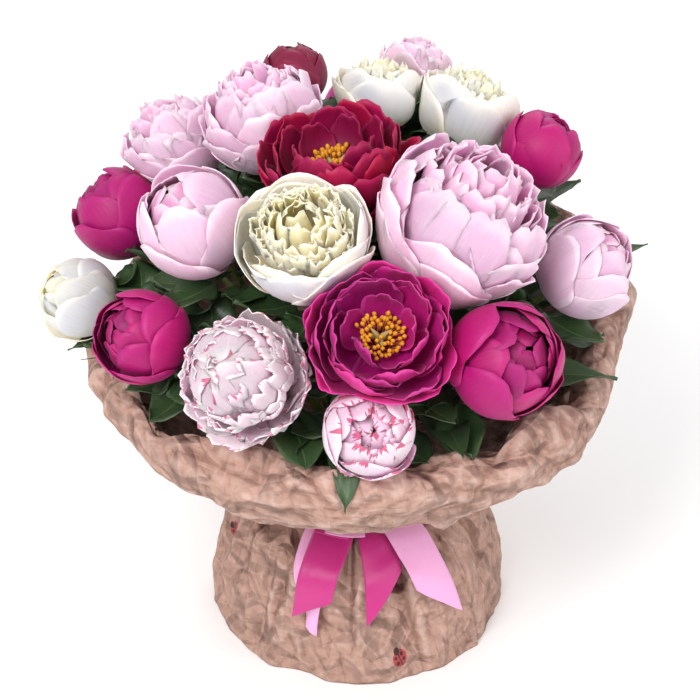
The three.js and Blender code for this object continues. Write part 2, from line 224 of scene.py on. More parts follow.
def joined(name: str, parts: list[Piece]) -> Piece:
    """Join parts into one object.

    Args:
        name: the joined object's name.
        parts: the objects to join.

    Returns:
        The joined object.
    """
    make_active(parts[0])
    for part in parts:
        part.select_set(True)
    if len(parts) > 1:
        bpy.ops.object.join()
    piece = bpy.context.view_layer.objects.active
    piece.name = name
    piece.data.name = name
    return piece


# --------------------------------------------------
# Shader helpers
# --------------------------------------------------
def linear(red: int, green: int, blue: int) -> Colour:
    """Turn a colour given as 0 to 255 in each channel into linear light."""

    def channel(value: int) -> float:
        """Linearise one channel."""
        share = value / 255.0
        return share / 12.92 if share <= 0.04045 else ((share + 0.055) / 1.055) ** 2.4

    return channel(red), channel(green), channel(blue)


class Graph:
    """A thin layer over a node tree that adds and links nodes in one call."""

    def __init__(self, tree: bpy.types.NodeTree) -> None:
        """Wrap a node tree."""
        self.tree = tree

    def node(self, kind: str, inputs: dict | None = None, **settings: object) -> bpy.types.Node:
        """Add a node.

        Args:
            kind: the node's type name.
            inputs: values or output sockets for its inputs, by name or number.
            settings: the node's own fields.

        Returns:
            The node.
        """
        added = self.tree.nodes.new(kind)
        for key, value in settings.items():
            setattr(added, key, value)
        self.feed(added, inputs or {})
        return added

    def feed(self, target: bpy.types.Node, inputs: dict) -> None:
        """Set or link a node's inputs, by name or number."""
        for key, value in inputs.items():
            if isinstance(value, Socket):
                self.tree.links.new(value, target.inputs[key])
            else:
                target.inputs[key].default_value = value

    def attribute(self, name: str) -> Socket:
        """Read a number that is stored on the vertices."""
        return self.node("ShaderNodeAttribute", attribute_name=name).outputs["Fac"]

    def own_map(self) -> Socket:
        """Read the piece's own map: across in x and along in y."""
        return self.node("ShaderNodeUVMap", uv_map="UVMap").outputs[0]

    def place(self) -> Socket:
        """Read where a point lies, in metres."""
        return self.node("ShaderNodeTexCoord").outputs["Object"]

    def split(self, vector: Socket) -> bpy.types.NodeOutputs:
        """Take a vector apart."""
        return self.node("ShaderNodeSeparateXYZ", {0: vector}).outputs

    def combine(self, x: object, y: object, z: object) -> Socket:
        """Put a vector together."""
        return self.node("ShaderNodeCombineXYZ", {0: x, 1: y, 2: z}).outputs[0]

    def stretch(self, vector: Socket, scale: Colour, turn: Colour = (0.0, 0.0, 0.0)) -> Socket:
        """Scale and turn a vector."""
        added = self.node("ShaderNodeMapping", {"Vector": vector, "Rotation": turn, "Scale": scale})
        return added.outputs[0]

    def noise(self, vector: Socket, scale: float, detail: float, roughness: float = 0.5) -> Socket:
        """Add a noise pattern and return its value."""
        return self.node("ShaderNodeTexNoise", {"Vector": vector, "Scale": scale, "Detail": detail,
                                                "Roughness": roughness}).outputs[0]

    def bump(self, height: object, strength: float, distance: float, **under: Socket) -> Socket:
        """Turn a height into a normal, over the one given as Normal if there is one."""
        return self.node("ShaderNodeBump", {"Height": height, "Strength": strength, "Distance": distance,
                                            **under}).outputs[0]

    def shade(self, colour: Socket, value: object, hue: object = 0.5) -> Socket:
        """Change a colour's brightness and hue."""
        return self.node("ShaderNodeHueSaturation", {"Color": colour, "Value": value, "Hue": hue}).outputs[0]

    def math(self, operation: str, first: object, second: object = 0.0, third: object = 0.0,
             clamp: bool = False) -> Socket:
        """Add a math node and return its output."""
        added = self.node("ShaderNodeMath", {0: first, 1: second, 2: third}, operation=operation,
                          use_clamp=clamp)
        return added.outputs[0]

    def mix(self, factor: object, first: object, second: object) -> Socket:
        """Mix two colours by a factor and return the colour."""
        added = self.node("ShaderNodeMix", {0: factor}, data_type="RGBA")
        for number, colour in ((6, first), (7, second)):
            linked = isinstance(colour, Socket)
            self.feed(added, {number: colour if linked else (*colour, 1.0)})
        return added.outputs[2]

    def ramp(self, factor: object, stops: list[tuple[float, float]]) -> Socket:
        """Map a value through grey stops of (position, grey) and return the result."""
        added = self.node("ShaderNodeValToRGB", {0: factor})
        elements = added.color_ramp.elements
        while len(elements) < len(stops):
            elements.new(0.5)
        for element, (position, grey) in zip(elements, stops):
            element.position = position
            element.color = (grey, grey, grey, 1.0)
        return added.outputs[0]


def shader_group(name: str, inputs: dict[str, float | None], outputs: tuple[str, ...]
                 ) -> tuple[Graph, bpy.types.NodeOutputs, bpy.types.Node]:
    """Start a shader node group.

    Args:
        name: the group's name.
        inputs: input names with a default number, or None for a vector.
        outputs: names of the values that it puts out.

    Returns:
        The group's graph, the sockets that bring its inputs, and its output node.
    """
    tree = bpy.data.node_groups.new(name, "ShaderNodeTree")
    for key, value in inputs.items():
        kind = "NodeSocketVector" if value is None else "NodeSocketFloat"
        socket = tree.interface.new_socket(key, in_out="INPUT", socket_type=kind)
        if value is not None:
            socket.default_value = value
    for key in outputs:
        tree.interface.new_socket(key, in_out="OUTPUT", socket_type="NodeSocketFloat")
    graph = Graph(tree)
    return graph, graph.node("NodeGroupInput").outputs, graph.node("NodeGroupOutput")


@cache
def fanned_veins() -> bpy.types.NodeTree:
    """Build, once, the group that draws the fine lines that fan out from a petal's base.

    Returns:
        The group. It takes the surface's own map and puts out lines, soft mottling and an edge mask.
    """
    graph, entry, leave = shader_group(
        "fanned_veins", {"Map": None, "Lines": 40.0, "Seed": 0.0, "Edge": 0.12},
        ("Lines", "Mottling", "Edge"))
    parts = graph.split(entry["Map"])
    across = graph.math("SUBTRACT", parts[0], 0.5)
    along = parts[1]
    spread = graph.math("DIVIDE", across, graph.math("ADD", graph.math("MULTIPLY", along, 0.55), 0.45))
    seed = graph.math("MULTIPLY", entry["Seed"], 37.0)
    fan = graph.combine(graph.math("MULTIPLY", spread, entry["Lines"]), graph.math("MULTIPLY", along, 2.2),
                        seed)
    cloud = graph.combine(graph.math("MULTIPLY", across, 3.0), graph.math("MULTIPLY", along, 3.0), seed)
    mottle = graph.noise(cloud, 1.0, 4.0)
    side = graph.math("SUBTRACT", 0.5, graph.math("ABSOLUTE", across))
    top = graph.math("SUBTRACT", 1.0, along)
    near = graph.math("MINIMUM", graph.math("MULTIPLY", side, 1.2), top)
    wavering = graph.math("MULTIPLY_ADD", graph.math("SUBTRACT", mottle, 0.5), 0.16, near)
    edge = graph.math("SUBTRACT", 1.0, graph.math("DIVIDE", wavering, entry["Edge"]), clamp=True)
    graph.feed(leave, {"Lines": graph.noise(fan, 1.0, 3.0, 0.6), "Mottling": mottle, "Edge": edge})
    return graph.tree


def new_material(name: str) -> tuple[Material, Graph, bpy.types.Node]:
    """Start a material.

    Args:
        name: the material's name.

    Returns:
        The material, its graph, and its Principled shader, linked to the output.
    """
    material = bpy.data.materials.new(name)
    material.use_nodes = True
    material.node_tree.nodes.clear()
    graph = Graph(material.node_tree)
    shader = graph.node("ShaderNodeBsdfPrincipled")
    graph.node("ShaderNodeOutputMaterial", {"Surface": shader.outputs[0]})
    return material, graph, shader


@dataclass(frozen=True)
class PetalFinish:
    """How the petals of one colour look. Colours are linear light."""

    name: str
    body: Colour  # most of the petal
    heart: Colour  # near its base and deep in the bloom
    tip: Colour  # along its rim
    edge_strength: float = 0.35
    edge_reach: float = 0.12
    streak: Colour | None = None
    streak_amount: float = 0.0
    roughness: float = 0.5
    sheen: float = 0.25
    glow: float = 0.25  # light that passes through the petal
    vein_depth: float = 0.25
    glow_radius: Colour = (1.0, 0.45, 0.5)  # how far each colour of light travels inside the petal

    def build(self) -> Material:
        """Make the material.

        Returns:
            The material, which reads the petal's own map and its stored tone and depth.
        """
        material, graph, shader = new_material(self.name)
        position = graph.own_map()
        tone = graph.attribute("tone")
        veins = graph.node("ShaderNodeGroup", node_tree=fanned_veins())
        graph.feed(veins, {"Map": position, "Seed": tone, "Lines": 46.0, "Edge": self.edge_reach})
        lines, mottling, edge = (veins.outputs[name] for name in ("Lines", "Mottling", "Edge"))
        along = graph.split(position)[1]
        rise = graph.ramp(graph.math("MULTIPLY_ADD", lines, 0.25, along),
                          [(0.15, 1.0), (0.55, 0.25), (0.9, 0.0)])
        deep = graph.math("MAXIMUM", rise, graph.math("MULTIPLY", graph.attribute("depth"), 0.75))
        colour = graph.mix(deep, self.body, self.heart)
        colour = graph.mix(graph.math("MULTIPLY", edge, self.edge_strength), colour, self.tip)
        if self.streak is not None:
            colour = graph.mix(self._streaks(graph, edge, position, tone), colour, self.streak)
        value = graph.math("MULTIPLY_ADD", graph.math("SUBTRACT", lines, 0.5), 0.22,
                           graph.math("MULTIPLY_ADD", tone, 0.22, 0.89))
        hue = graph.math("MULTIPLY_ADD", graph.math("SUBTRACT", tone, 0.5), 0.014, 0.5)
        height = graph.math("MULTIPLY_ADD", mottling, 1.6, lines)
        graph.feed(shader, {
            "Base Color": graph.shade(colour, value, hue),
            "Roughness": graph.math("MULTIPLY_ADD", mottling, 0.2, self.roughness - 0.1),
            "Subsurface Weight": self.glow,
            "Subsurface Scale": 0.004,
            "Subsurface Radius": self.glow_radius,
            "Sheen Weight": self.sheen,
            "Sheen Roughness": 0.4,
            "Specular IOR Level": 0.35,
            "Normal": graph.bump(height, self.vein_depth, 0.0011)})
        return material

    def _streaks(self, graph: Graph, edge: Socket, position: Socket, tone: Socket) -> Socket:
        """Mask the dark flecks and lines that run in from a petal's rim."""
        parts = graph.split(position)
        stretched = graph.combine(graph.math("MULTIPLY", parts[0], 13.0),
                                  graph.math("MULTIPLY", parts[1], 2.6), graph.math("MULTIPLY", tone, 91.0))
        rim = graph.math("MULTIPLY_ADD", edge, 0.22, graph.noise(stretched, 1.0, 2.0))
        start = 0.86 - self.streak_amount * 0.3
        mask = graph.ramp(rim, [(start, 0.0), (start + 0.05, 1.0)])
        return graph.math("MULTIPLY", mask, 0.85)


@dataclass(frozen=True)
class GreenFinish:
    """How leaves, sepals and stems look."""

    name: str
    blade: Colour
    vein: Colour
    under: Colour
    roughness: float = 0.42
    depth: float = 0.5
    lines: float = 16.0

    def build(self) -> Material:
        """Make the material, which reads the blade's own map and its stored tone."""
        material, graph, shader = new_material(self.name)
        parts = graph.split(graph.own_map())
        across = graph.math("ABSOLUTE", graph.math("SUBTRACT", parts[0], 0.5))
        # Side veins leave the midrib at a slant and curve towards the tip.
        slanted = graph.math("SUBTRACT", graph.math("MULTIPLY", parts[1], self.lines),
                             graph.math("MULTIPLY", graph.math("POWER", across, 0.8), self.lines * 0.62))
        waves = graph.math("ABSOLUTE", graph.math("SINE", graph.math("MULTIPLY", slanted, math.pi)))
        side_veins = graph.ramp(waves, [(0.0, 1.0), (0.16, 0.0)])
        midrib = graph.ramp(across, [(0.008, 1.0), (0.03, 0.0)])
        veins = graph.math("MAXIMUM", graph.math("MULTIPLY", side_veins, 0.4), midrib)
        place = graph.place()
        mottle = graph.noise(place, 70.0, 5.0)
        colour = graph.mix(mottle, self.blade, self.under)
        colour = graph.mix(graph.math("MULTIPLY", veins, 0.55), colour, self.vein)
        height = graph.math("SUBTRACT", graph.math("MULTIPLY", graph.noise(place, 900.0, 2.0), 0.3),
                            graph.math("MULTIPLY", veins, 0.8))
        value = graph.math("MULTIPLY_ADD", graph.attribute("tone"), 0.7, 0.65)
        graph.feed(shader, {
            "Base Color": graph.shade(colour, value),
            "Roughness": graph.math("MULTIPLY_ADD", mottle, 0.25, self.roughness - 0.1),
            "Subsurface Weight": 0.08,
            "Subsurface Scale": 0.002,
            "Normal": graph.bump(height, self.depth, 0.0008)})
        return material


# --------------------------------------------------
# Petals
# --------------------------------------------------
@dataclass(frozen=True)
class Petal:
    """The cut and the curl of one petal. Lengths are shares of the bloom's radius, angles are degrees."""

    length: float
    width: float
    rise: float = 0.0  # heading at its base: 0 points outwards, 90 up
    lean: float = 130.0  # heading at its tip: over 90 leans in over the middle
    cup: float = 1.0  # radius that it is rolled to from side to side
    curl: float = 0.0  # extra turn of the tip; under 0 rolls it back outwards
    claw: float = 0.35  # width at the base, as a share of the greatest width
    fullest: float = 0.62  # where it is widest, as a share of the length
    top: float = 0.72  # width where the tip begins to round off
    shoulder: float = 0.24  # how far the corners of the tip are rounded off
    notch: float = 0.0  # depth of the nick in the middle of the tip
    ragged: float = 0.006  # unevenness of the tip's edge
    frill: float = 0.02  # height of the ruffles at the edge
    waves: float = 2.0  # ruffles from side to side
    wobble: float = 0.02  # slow unevenness of the whole petal
    lap: float = 0.0  # how far one side rises over the next petal and the other dips under
    twist: float = 0.0  # slope from side to side that grows to the tip

    def press(self, blank: Blank, rng: np.random.Generator) -> Array:
        """Press a blank into the petal.

        Args:
            blank: the grid.
            rng: source of the unevenness.

        Returns:
            The points, with the base at the origin, outwards along +X and the bloom's axis along +Z.
        """
        u, v = blank.across, blank.along
        phase = rng.uniform(0.0, TAU, 8)
        tooth = (np.sin(6.0 * u + phase[0]) + 0.7 * np.sin(15.0 * u + phase[1])
                 + 0.5 * np.sin(29.0 * u + phase[2]))
        nick = self.notch * np.exp(-((u / 0.2) ** 2))
        along = v * (1.0 - self.shoulder * u * u * v * v) + (self.ragged * tooth - nick) * v**5
        widened = np.sin(math.pi / 2 * np.clip(v / self.fullest, 0, 1)) ** 0.9
        opening = self.claw + (1.0 - self.claw) * widened
        closing = 1.0 - (1.0 - self.top) * (np.clip((v - self.fullest) / (1 - self.fullest), 0, 1)) ** 2
        side = u * opening * closing * self.width / 2.0

        share = np.linspace(0.0, 1.15, 93)
        turn = (self.lean - self.rise) * np.clip(share, 0, 1.1)
        heading = np.radians(self.rise + turn + self.curl * smoothstep(0.68, 1.05, share))
        middle = (heading[1:] + heading[:-1]) / 2.0
        step = share[1] * self.length
        out = np.concatenate([[0.0], np.cumsum(np.cos(middle)) * step])
        up = np.concatenate([[0.0], np.cumsum(np.sin(middle)) * step])
        r, z, h = (np.interp(along, share, line) for line in (out, up, heading))

        bend = side / self.cup
        reach = self.cup * (1.0 - np.cos(bend))
        points = np.stack([r - np.sin(h) * reach, self.cup * np.sin(bend), z + np.cos(h) * reach], axis=1)
        inward = np.stack([-np.sin(h) * np.cos(bend), -np.sin(bend), np.cos(h) * np.cos(bend)], axis=1)
        swing = self.waves * math.pi * u
        ruffle = np.sin(swing + phase[3]) + 0.5 * np.sin(2.3 * swing + phase[4])
        lift = self.frill * v**3 * ruffle * (0.45 + 0.55 * np.abs(u))
        lift += self.wobble * np.sin(2.2 * u + 2.0 * v + phase[5]) * np.sin(math.pi * v)
        lift += 0.35 * self.wobble * np.sin(5.0 * u + phase[6]) * np.sin(5.0 * v + phase[7]) * v
        lift += (math.tan(math.radians(self.twist)) * side * v) - self.lap * u * smoothstep(0.0, 0.4, v)
        return points + inward * lift[:, None]


@dataclass(frozen=True)
class Whorl:
    """A ring of like petals round a bloom's axis."""

    petal: Petal
    count: int
    start: float = 0.05  # distance of a base from the axis, in bloom radii
    height: float = 0.0  # of a base over the bloom's foot, in bloom radii
    turn: float = 0.0  # degrees that the first petal is turned by
    depth: float = 0.0  # 0 at the outside of the bloom, 1 in its heart
    tilt: float = 3.0  # greatest random lean of a petal, in degrees
    spread: float = 6.0  # greatest random turn of a petal, in degrees
    fine: bool = True  # pressed from the finer blank


def ball_whorl(radius: float, share: float, count: int, width: float, **values: float) -> Whorl:
    """Make a whorl whose petals wrap a ball.

    Args:
        radius: of the ball, in bloom radii.
        share: of the way from the foot over the ball to its top that a petal reaches.
        count: petals.
        width: of a petal, in bloom radii.
        values: other fields of Petal and Whorl.

    Returns:
        The whorl, whose ball shares its middle with the bloom.
    """
    whorl_fields = {key: values.pop(key) for key in list(values) if key in Whorl.__dataclass_fields__}
    shape = {"rise": 0.0, "lean": 180.0 * share, "cup": radius, "lap": 0.035} | values
    petal = Petal(length=math.pi * radius * share, width=width, **shape)
    placing = {"start": 0.02, "height": 0.96 - radius} | whorl_fields
    return Whorl(petal=petal, count=count, **placing)


@dataclass(frozen=True)
class LoosePetal:
    """A guard petal that falls away from its bloom."""

    clock: float  # degrees round the bloom from its lowest side, turning right as seen from the front
    lean: float = 95.0
    length: float = 1.3
    width: float = 1.2
    curl: float = -25.0


class Form(Enum):
    """How far a peony has opened."""

    BUD = "closed ball"
    DOUBLE = "full double"
    RUFFLED = "double with a ragged dome"
    CUP = "guard petals round a frilled crater"
    BOWL = "open bowl with stamens"


def bud_whorls() -> list[Whorl]:
    """List the whorls of a closed ball whose petals lap each other up to a small swirl."""
    return [
        ball_whorl(0.52, 0.99, 4, 1.1, height=0.74, depth=1.0, turn=70, frill=0.02, top=0.7, tilt=3),
        ball_whorl(0.66, 0.88, 5, 1.3, height=0.46, depth=0.9, turn=0, frill=0.025, top=0.6, tilt=5),
        ball_whorl(0.8, 0.9, 5, 1.5, depth=0.6, turn=20, curl=-24, frill=0.03, top=0.6),
        ball_whorl(0.88, 0.87, 5, 1.75, depth=0.3, turn=55, curl=-12, frill=0.02, top=0.65),
        ball_whorl(0.94, 0.79, 5, 1.9, depth=0.1, turn=10, curl=-6, frill=0.015),
        ball_whorl(1.0, 0.66, 4, 1.9, turn=40, tilt=2, curl=-5, frill=0.02),
    ]


def inner_dome(count: int, reach: float, width: float, top: float, **values: float) -> list[Whorl]:
    """List rings of incurved petals that fill the dome of a double bloom.

    Args:
        count: petals in the whole dome.
        reach: distance of their tips from the middle of the ball, in bloom radii.
        width: of a petal.
        top: greatest angle of the dome from the axis, in degrees.
        values: other fields of Petal, turn_in for degrees that the outer tips lean in further, and sink
            for how far the dome's middle is let down.

    Returns:
        One whorl for each petal, from the middle out.
    """
    rings = []
    turn_in = values.pop("turn_in", 0.0)
    sink = values.pop("sink", 0.0)
    for k in range(count):
        outwards = math.sqrt((k + 0.5) / count)
        polar = math.radians(top * outwards)
        foot = np.array([0.12 + 0.3 * math.sin(polar), 0.55])
        tip = np.array([reach * math.sin(polar), 0.96 + (reach - sink) * math.cos(polar)])
        chord = tip - foot
        heading = math.degrees(math.atan2(chord[1], chord[0]))
        shape = {"rise": heading - 32, "lean": heading + 42 + turn_in * math.sin(polar), "cup": 0.32,
                 "claw": 0.45, "top": 0.85, "frill": 0.05, "waves": 2.4, "ragged": 0.02, "notch": 0.06,
                 "shoulder": 0.16} | values
        petal = Petal(length=float(np.linalg.norm(chord)) * 1.12, width=width, **shape)
        rings.append(Whorl(petal, count=1, start=float(foot[0]), height=float(foot[1]),
                           turn=k * GOLDEN_ANGLE, depth=1.0 - 0.75 * outwards, tilt=9, spread=10,
                           fine=False))
    return rings


def double_whorls() -> list[Whorl]:
    """List the whorls of a full double bloom: guards, large incurved petals and a ruffled heart."""
    return [
        *inner_dome(34, 0.86, 0.62, 62, twist=8.0),
        ball_whorl(0.86, 0.74, 7, 1.15, depth=0.35, turn=15, frill=0.05, waves=2.2, notch=0.05, top=0.8),
        ball_whorl(0.93, 0.68, 7, 1.35, depth=0.2, turn=40, frill=0.045, notch=0.05, tilt=5),
        ball_whorl(1.0, 0.58, 7, 1.5, depth=0.05, turn=5, frill=0.04, notch=0.04, tilt=5, curl=-10),
        ball_whorl(1.05, 0.48, 6, 1.5, turn=30, frill=0.05, notch=0.05, tilt=6, curl=-22),
    ]


def ruffled_whorls() -> list[Whorl]:
    """List the whorls of a bomb-shaped bloom, ragged petals all over."""
    return [
        ball_whorl(0.42, 0.99, 4, 0.9, height=0.96, depth=1.0, turn=70, frill=0.02, top=0.7),
        ball_whorl(0.6, 1.0, 5, 1.3, height=0.64, depth=0.8, turn=35, frill=0.04, waves=2.4, top=0.8),
        *inner_dome(54, 0.97, 0.7, 96, frill=0.042, waves=2.6, ragged=0.03, notch=0.09, cup=0.3,
                    turn_in=24.0),
        ball_whorl(0.95, 0.5, 8, 1.2, depth=0.1, turn=10, frill=0.05, waves=3.0, notch=0.08, ragged=0.02),
        ball_whorl(0.98, 0.36, 8, 1.1, turn=30, frill=0.06, waves=2.6, notch=0.08, tilt=7, curl=-25),
    ]


def cup_whorls() -> list[Whorl]:
    """List the whorls of a smooth cup that holds a crater of frilled petaloids."""
    return [
        *inner_dome(60, 0.82, 0.52, 78, frill=0.055, waves=2.6, ragged=0.04, notch=0.1, cup=0.22,
                    twist=14.0, sink=0.2),
        ball_whorl(0.93, 0.6, 5, 1.5, depth=0.0, turn=20, frill=0.02, top=0.85, tilt=3),
        ball_whorl(0.97, 0.62, 4, 1.75, turn=60, frill=0.02, top=0.85, tilt=3),
        ball_whorl(1.02, 0.56, 4, 1.8, turn=15, frill=0.025, top=0.85, tilt=4, curl=-14),
    ]


def bowl_whorls() -> list[Whorl]:
    """List the whorls of an open bowl round a boss of stamens."""
    return [
        ball_whorl(0.5, 0.62, 5, 0.62, height=0.5, depth=0.9, turn=10, frill=0.03, tilt=10, top=0.8,
                   notch=0.06),
        ball_whorl(0.66, 0.62, 5, 0.84, height=0.34, depth=0.7, turn=40, frill=0.03, tilt=9, top=0.8,
                   notch=0.06),
        ball_whorl(0.78, 0.6, 6, 1.0, height=0.2, depth=0.55, turn=45, frill=0.035, tilt=8, notch=0.05),
        ball_whorl(0.9, 0.58, 6, 1.2, height=0.06, depth=0.3, turn=0, frill=0.035, tilt=6, notch=0.05),
        ball_whorl(1.0, 0.53, 6, 1.35, depth=0.12, turn=30, frill=0.04, tilt=5, curl=-10, notch=0.04),
        ball_whorl(1.06, 0.45, 5, 1.4, turn=5, frill=0.04, tilt=7, curl=-22, notch=0.03),
    ]


WHORLS = {
    Form.BUD: bud_whorls,
    Form.DOUBLE: double_whorls,
    Form.RUFFLED: ruffled_whorls,
    Form.CUP: cup_whorls,
    Form.BOWL: bowl_whorls,
}


# --------------------------------------------------
# Blooms
# --------------------------------------------------
VIEW_DOWN = np.array([0.0, -math.sin(math.radians(VIEW_ELEVATION)), -math.cos(math.radians(VIEW_ELEVATION))])
BLOOM_WAIST = 0.48  # height of a bloom's middle over its foot, in diameters
CUT_RADIUS = 6.0 * MM  # the ring of points at a stem's end lies within this of its highest point
PETAL_THICKNESS = 0.45 * MM
SEPAL_THICKNESS = 0.6 * MM
BLOOM_GAP = 0.25 * MM  # from a bloom to the plane between it and its neighbour
SQUEEZE = 0.11  # share of a bloom's radius over which it gives way to a neighbour


def stem_end(flower: str) -> tuple[Array, Array]:
    """Find where a stem of the frame ends and which way it points there.

    Args:
        flower: the flower's name.

    Returns:
        The middle of the stem's cut-off top and the unit direction out of it.
    """
    points = np.unique(np.round(mesh_points(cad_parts[f"{flower}_stem"].data), 6), axis=0)
    highest = points[np.argmax(points[:, 2])]
    ring = points[np.linalg.norm(points - highest, axis=1) < CUT_RADIUS]
    middle = ring.mean(axis=0)
    normal = np.linalg.svd(ring - middle)[2][2]
    return middle, normal * np.sign(np.dot(normal, middle - TIE))


PETAL_SLOTS = {"streaked": "blush_petals", "plum": "magenta_petals"}


@dataclass
class Bloom:
    """One peony head: its petals, the sepals under them and, on an open bowl, its stamens."""

    name: str
    form: Form
    finish: str
    diameter: float
    loose: tuple[LoosePetal, ...] = ()
    roll: float = 0.0  # degrees that the whole head is turned round its axis
    tip: tuple[float, float] = (0.0, 0.0)  # degrees that the head nods to the right and upwards
    seed: int = 0
    neighbours: list["Bloom"] = field(default_factory=list)

    def __post_init__(self) -> None:
        """Take the bloom's place from the end of its stem."""
        end, facing = stem_end(self.name)
        self.radius = self.diameter / 2.0
        self.foot = end
        self.centre = end + facing * self.diameter * BLOOM_WAIST
        down = unit(VIEW_DOWN - facing * float(np.dot(VIEW_DOWN, facing)))
        right = np.cross(facing, down)
        self.frame_axes = np.stack([down, right, facing], axis=1)

    def place(self, points: Array) -> Array:
        """Move points from the bloom's own frame, in bloom radii, to the bunch."""
        nod_right, nod_up = (math.radians(angle) for angle in self.tip)
        x, y, z = (points * self.radius).T
        z = z - self.diameter * BLOOM_WAIST
        y, z = turned(y, z, -nod_right)
        x, z = turned(x, z, nod_up)
        z = z + self.diameter * BLOOM_WAIST
        return self.foot + np.stack([x, y, z], axis=1) @ self.frame_axes.T

    def press_against_neighbours(self, points: Array) -> Array:
        """Squeeze the points that would reach past the plane between this bloom and a neighbour."""
        soft = SQUEEZE * self.radius
        for other in self.neighbours:
            towards = other.centre - self.centre
            distance = float(np.linalg.norm(towards))
            towards = towards / distance
            limit = distance * self.diameter / (self.diameter + other.diameter) - BLOOM_GAP
            beyond = (points - self.centre) @ towards - limit
            over = beyond > -soft
            eased = -soft * np.exp(-(beyond[over] + soft) / soft)
            points[over] += np.outer(eased - beyond[over], towards)
        return points

    def build_petals(self, blanks: dict[bool, Blank], finishes: dict[str, Material]) -> None:
        """Press every petal of the bloom and join them.

        Args:
            blanks: the fine blank under True and the plain one under False.
            finishes: petal materials by name.
        """
        rng = np.random.default_rng(1000 + self.seed)
        parts = []
        for whorl in WHORLS[self.form]():
            for k in range(whorl.count):
                azimuth = self.roll + whorl.turn + k * (360.0 / whorl.count)
                azimuth += rng.uniform(-whorl.spread, whorl.spread)
                size = rng.uniform(0.94, 1.05)
                petal = replace(whorl.petal, length=whorl.petal.length * size,
                                width=whorl.petal.width * rng.uniform(0.92, 1.08),
                                twist=whorl.petal.twist * rng.uniform(-1.0, 1.0))
                blank = blanks[whorl.fine]
                points = petal.press(blank, rng)
                lean = math.radians(rng.uniform(-whorl.tilt, whorl.tilt))
                start = (whorl.start, whorl.height)
                parts.append(self._petal(blank, points, azimuth, lean, start, whorl.depth, rng))
        for loose in self.loose:
            petal = Petal(length=loose.length, width=loose.width, rise=5, lean=loose.lean, cup=1.1,
                          curl=loose.curl, frill=0.04, wobble=0.04, notch=0.05)
            points = petal.press(blanks[True], rng)
            parts.append(self._petal(blanks[True], points, loose.clock, 0.0, (0.04, -0.03), 0.0, rng))
        piece = joined(f"{self.name}_petals", parts)
        thicken(piece, PETAL_THICKNESS, finishes[self.finish])
        finish_piece(piece, PETAL_SLOTS.get(self.finish, f"{self.finish}_petals"), f"{self.name}_bloom")

    def _petal(self, blank: Blank, points: Array, azimuth: float, lean: float,
               start: tuple[float, float], depth: float, rng: np.random.Generator) -> Piece:
        """Turn one pressed petal to its place in the bloom and copy the blank onto it."""
        x, y, z = points.T
        x, z = turned(x, z, lean)
        x, y = turned(x + start[0], y, math.radians(azimuth))
        placed = self.press_against_neighbours(self.place(np.stack([x, y, z + start[1]], axis=1)))
        return blank.copy(f"{self.name}_petal", placed, tone=rng.uniform(0.0, 1.0), depth=depth)

    def build_sepals(self, blank: Blank, green: Material) -> None:
        """Press the green sepals that cup the foot of the bloom."""
        rng = np.random.default_rng(2000 + self.seed)
        parts = []
        count = 5
        for k in range(count):
            long_one = k % 2 == 0
            sepal = Petal(length=0.85 if long_one else 0.6, width=0.42 if long_one else 0.5, rise=2,
                          lean=70, cup=0.9, claw=0.5, top=0.35 if long_one else 0.8, shoulder=0.1,
                          curl=-35 if long_one else -5, frill=0.01, ragged=0.0)
            points = sepal.press(blank, rng)
            azimuth = k * 360.0 / count + rng.uniform(-12, 12)
            parts.append(self._petal(blank, points, azimuth, 0.0, (0.02, -0.07), 0.0, rng))
        piece = joined(f"{self.name}_sepals", parts)
        thicken(piece, SEPAL_THICKNESS, green)
        finish_piece(piece, "leaves")


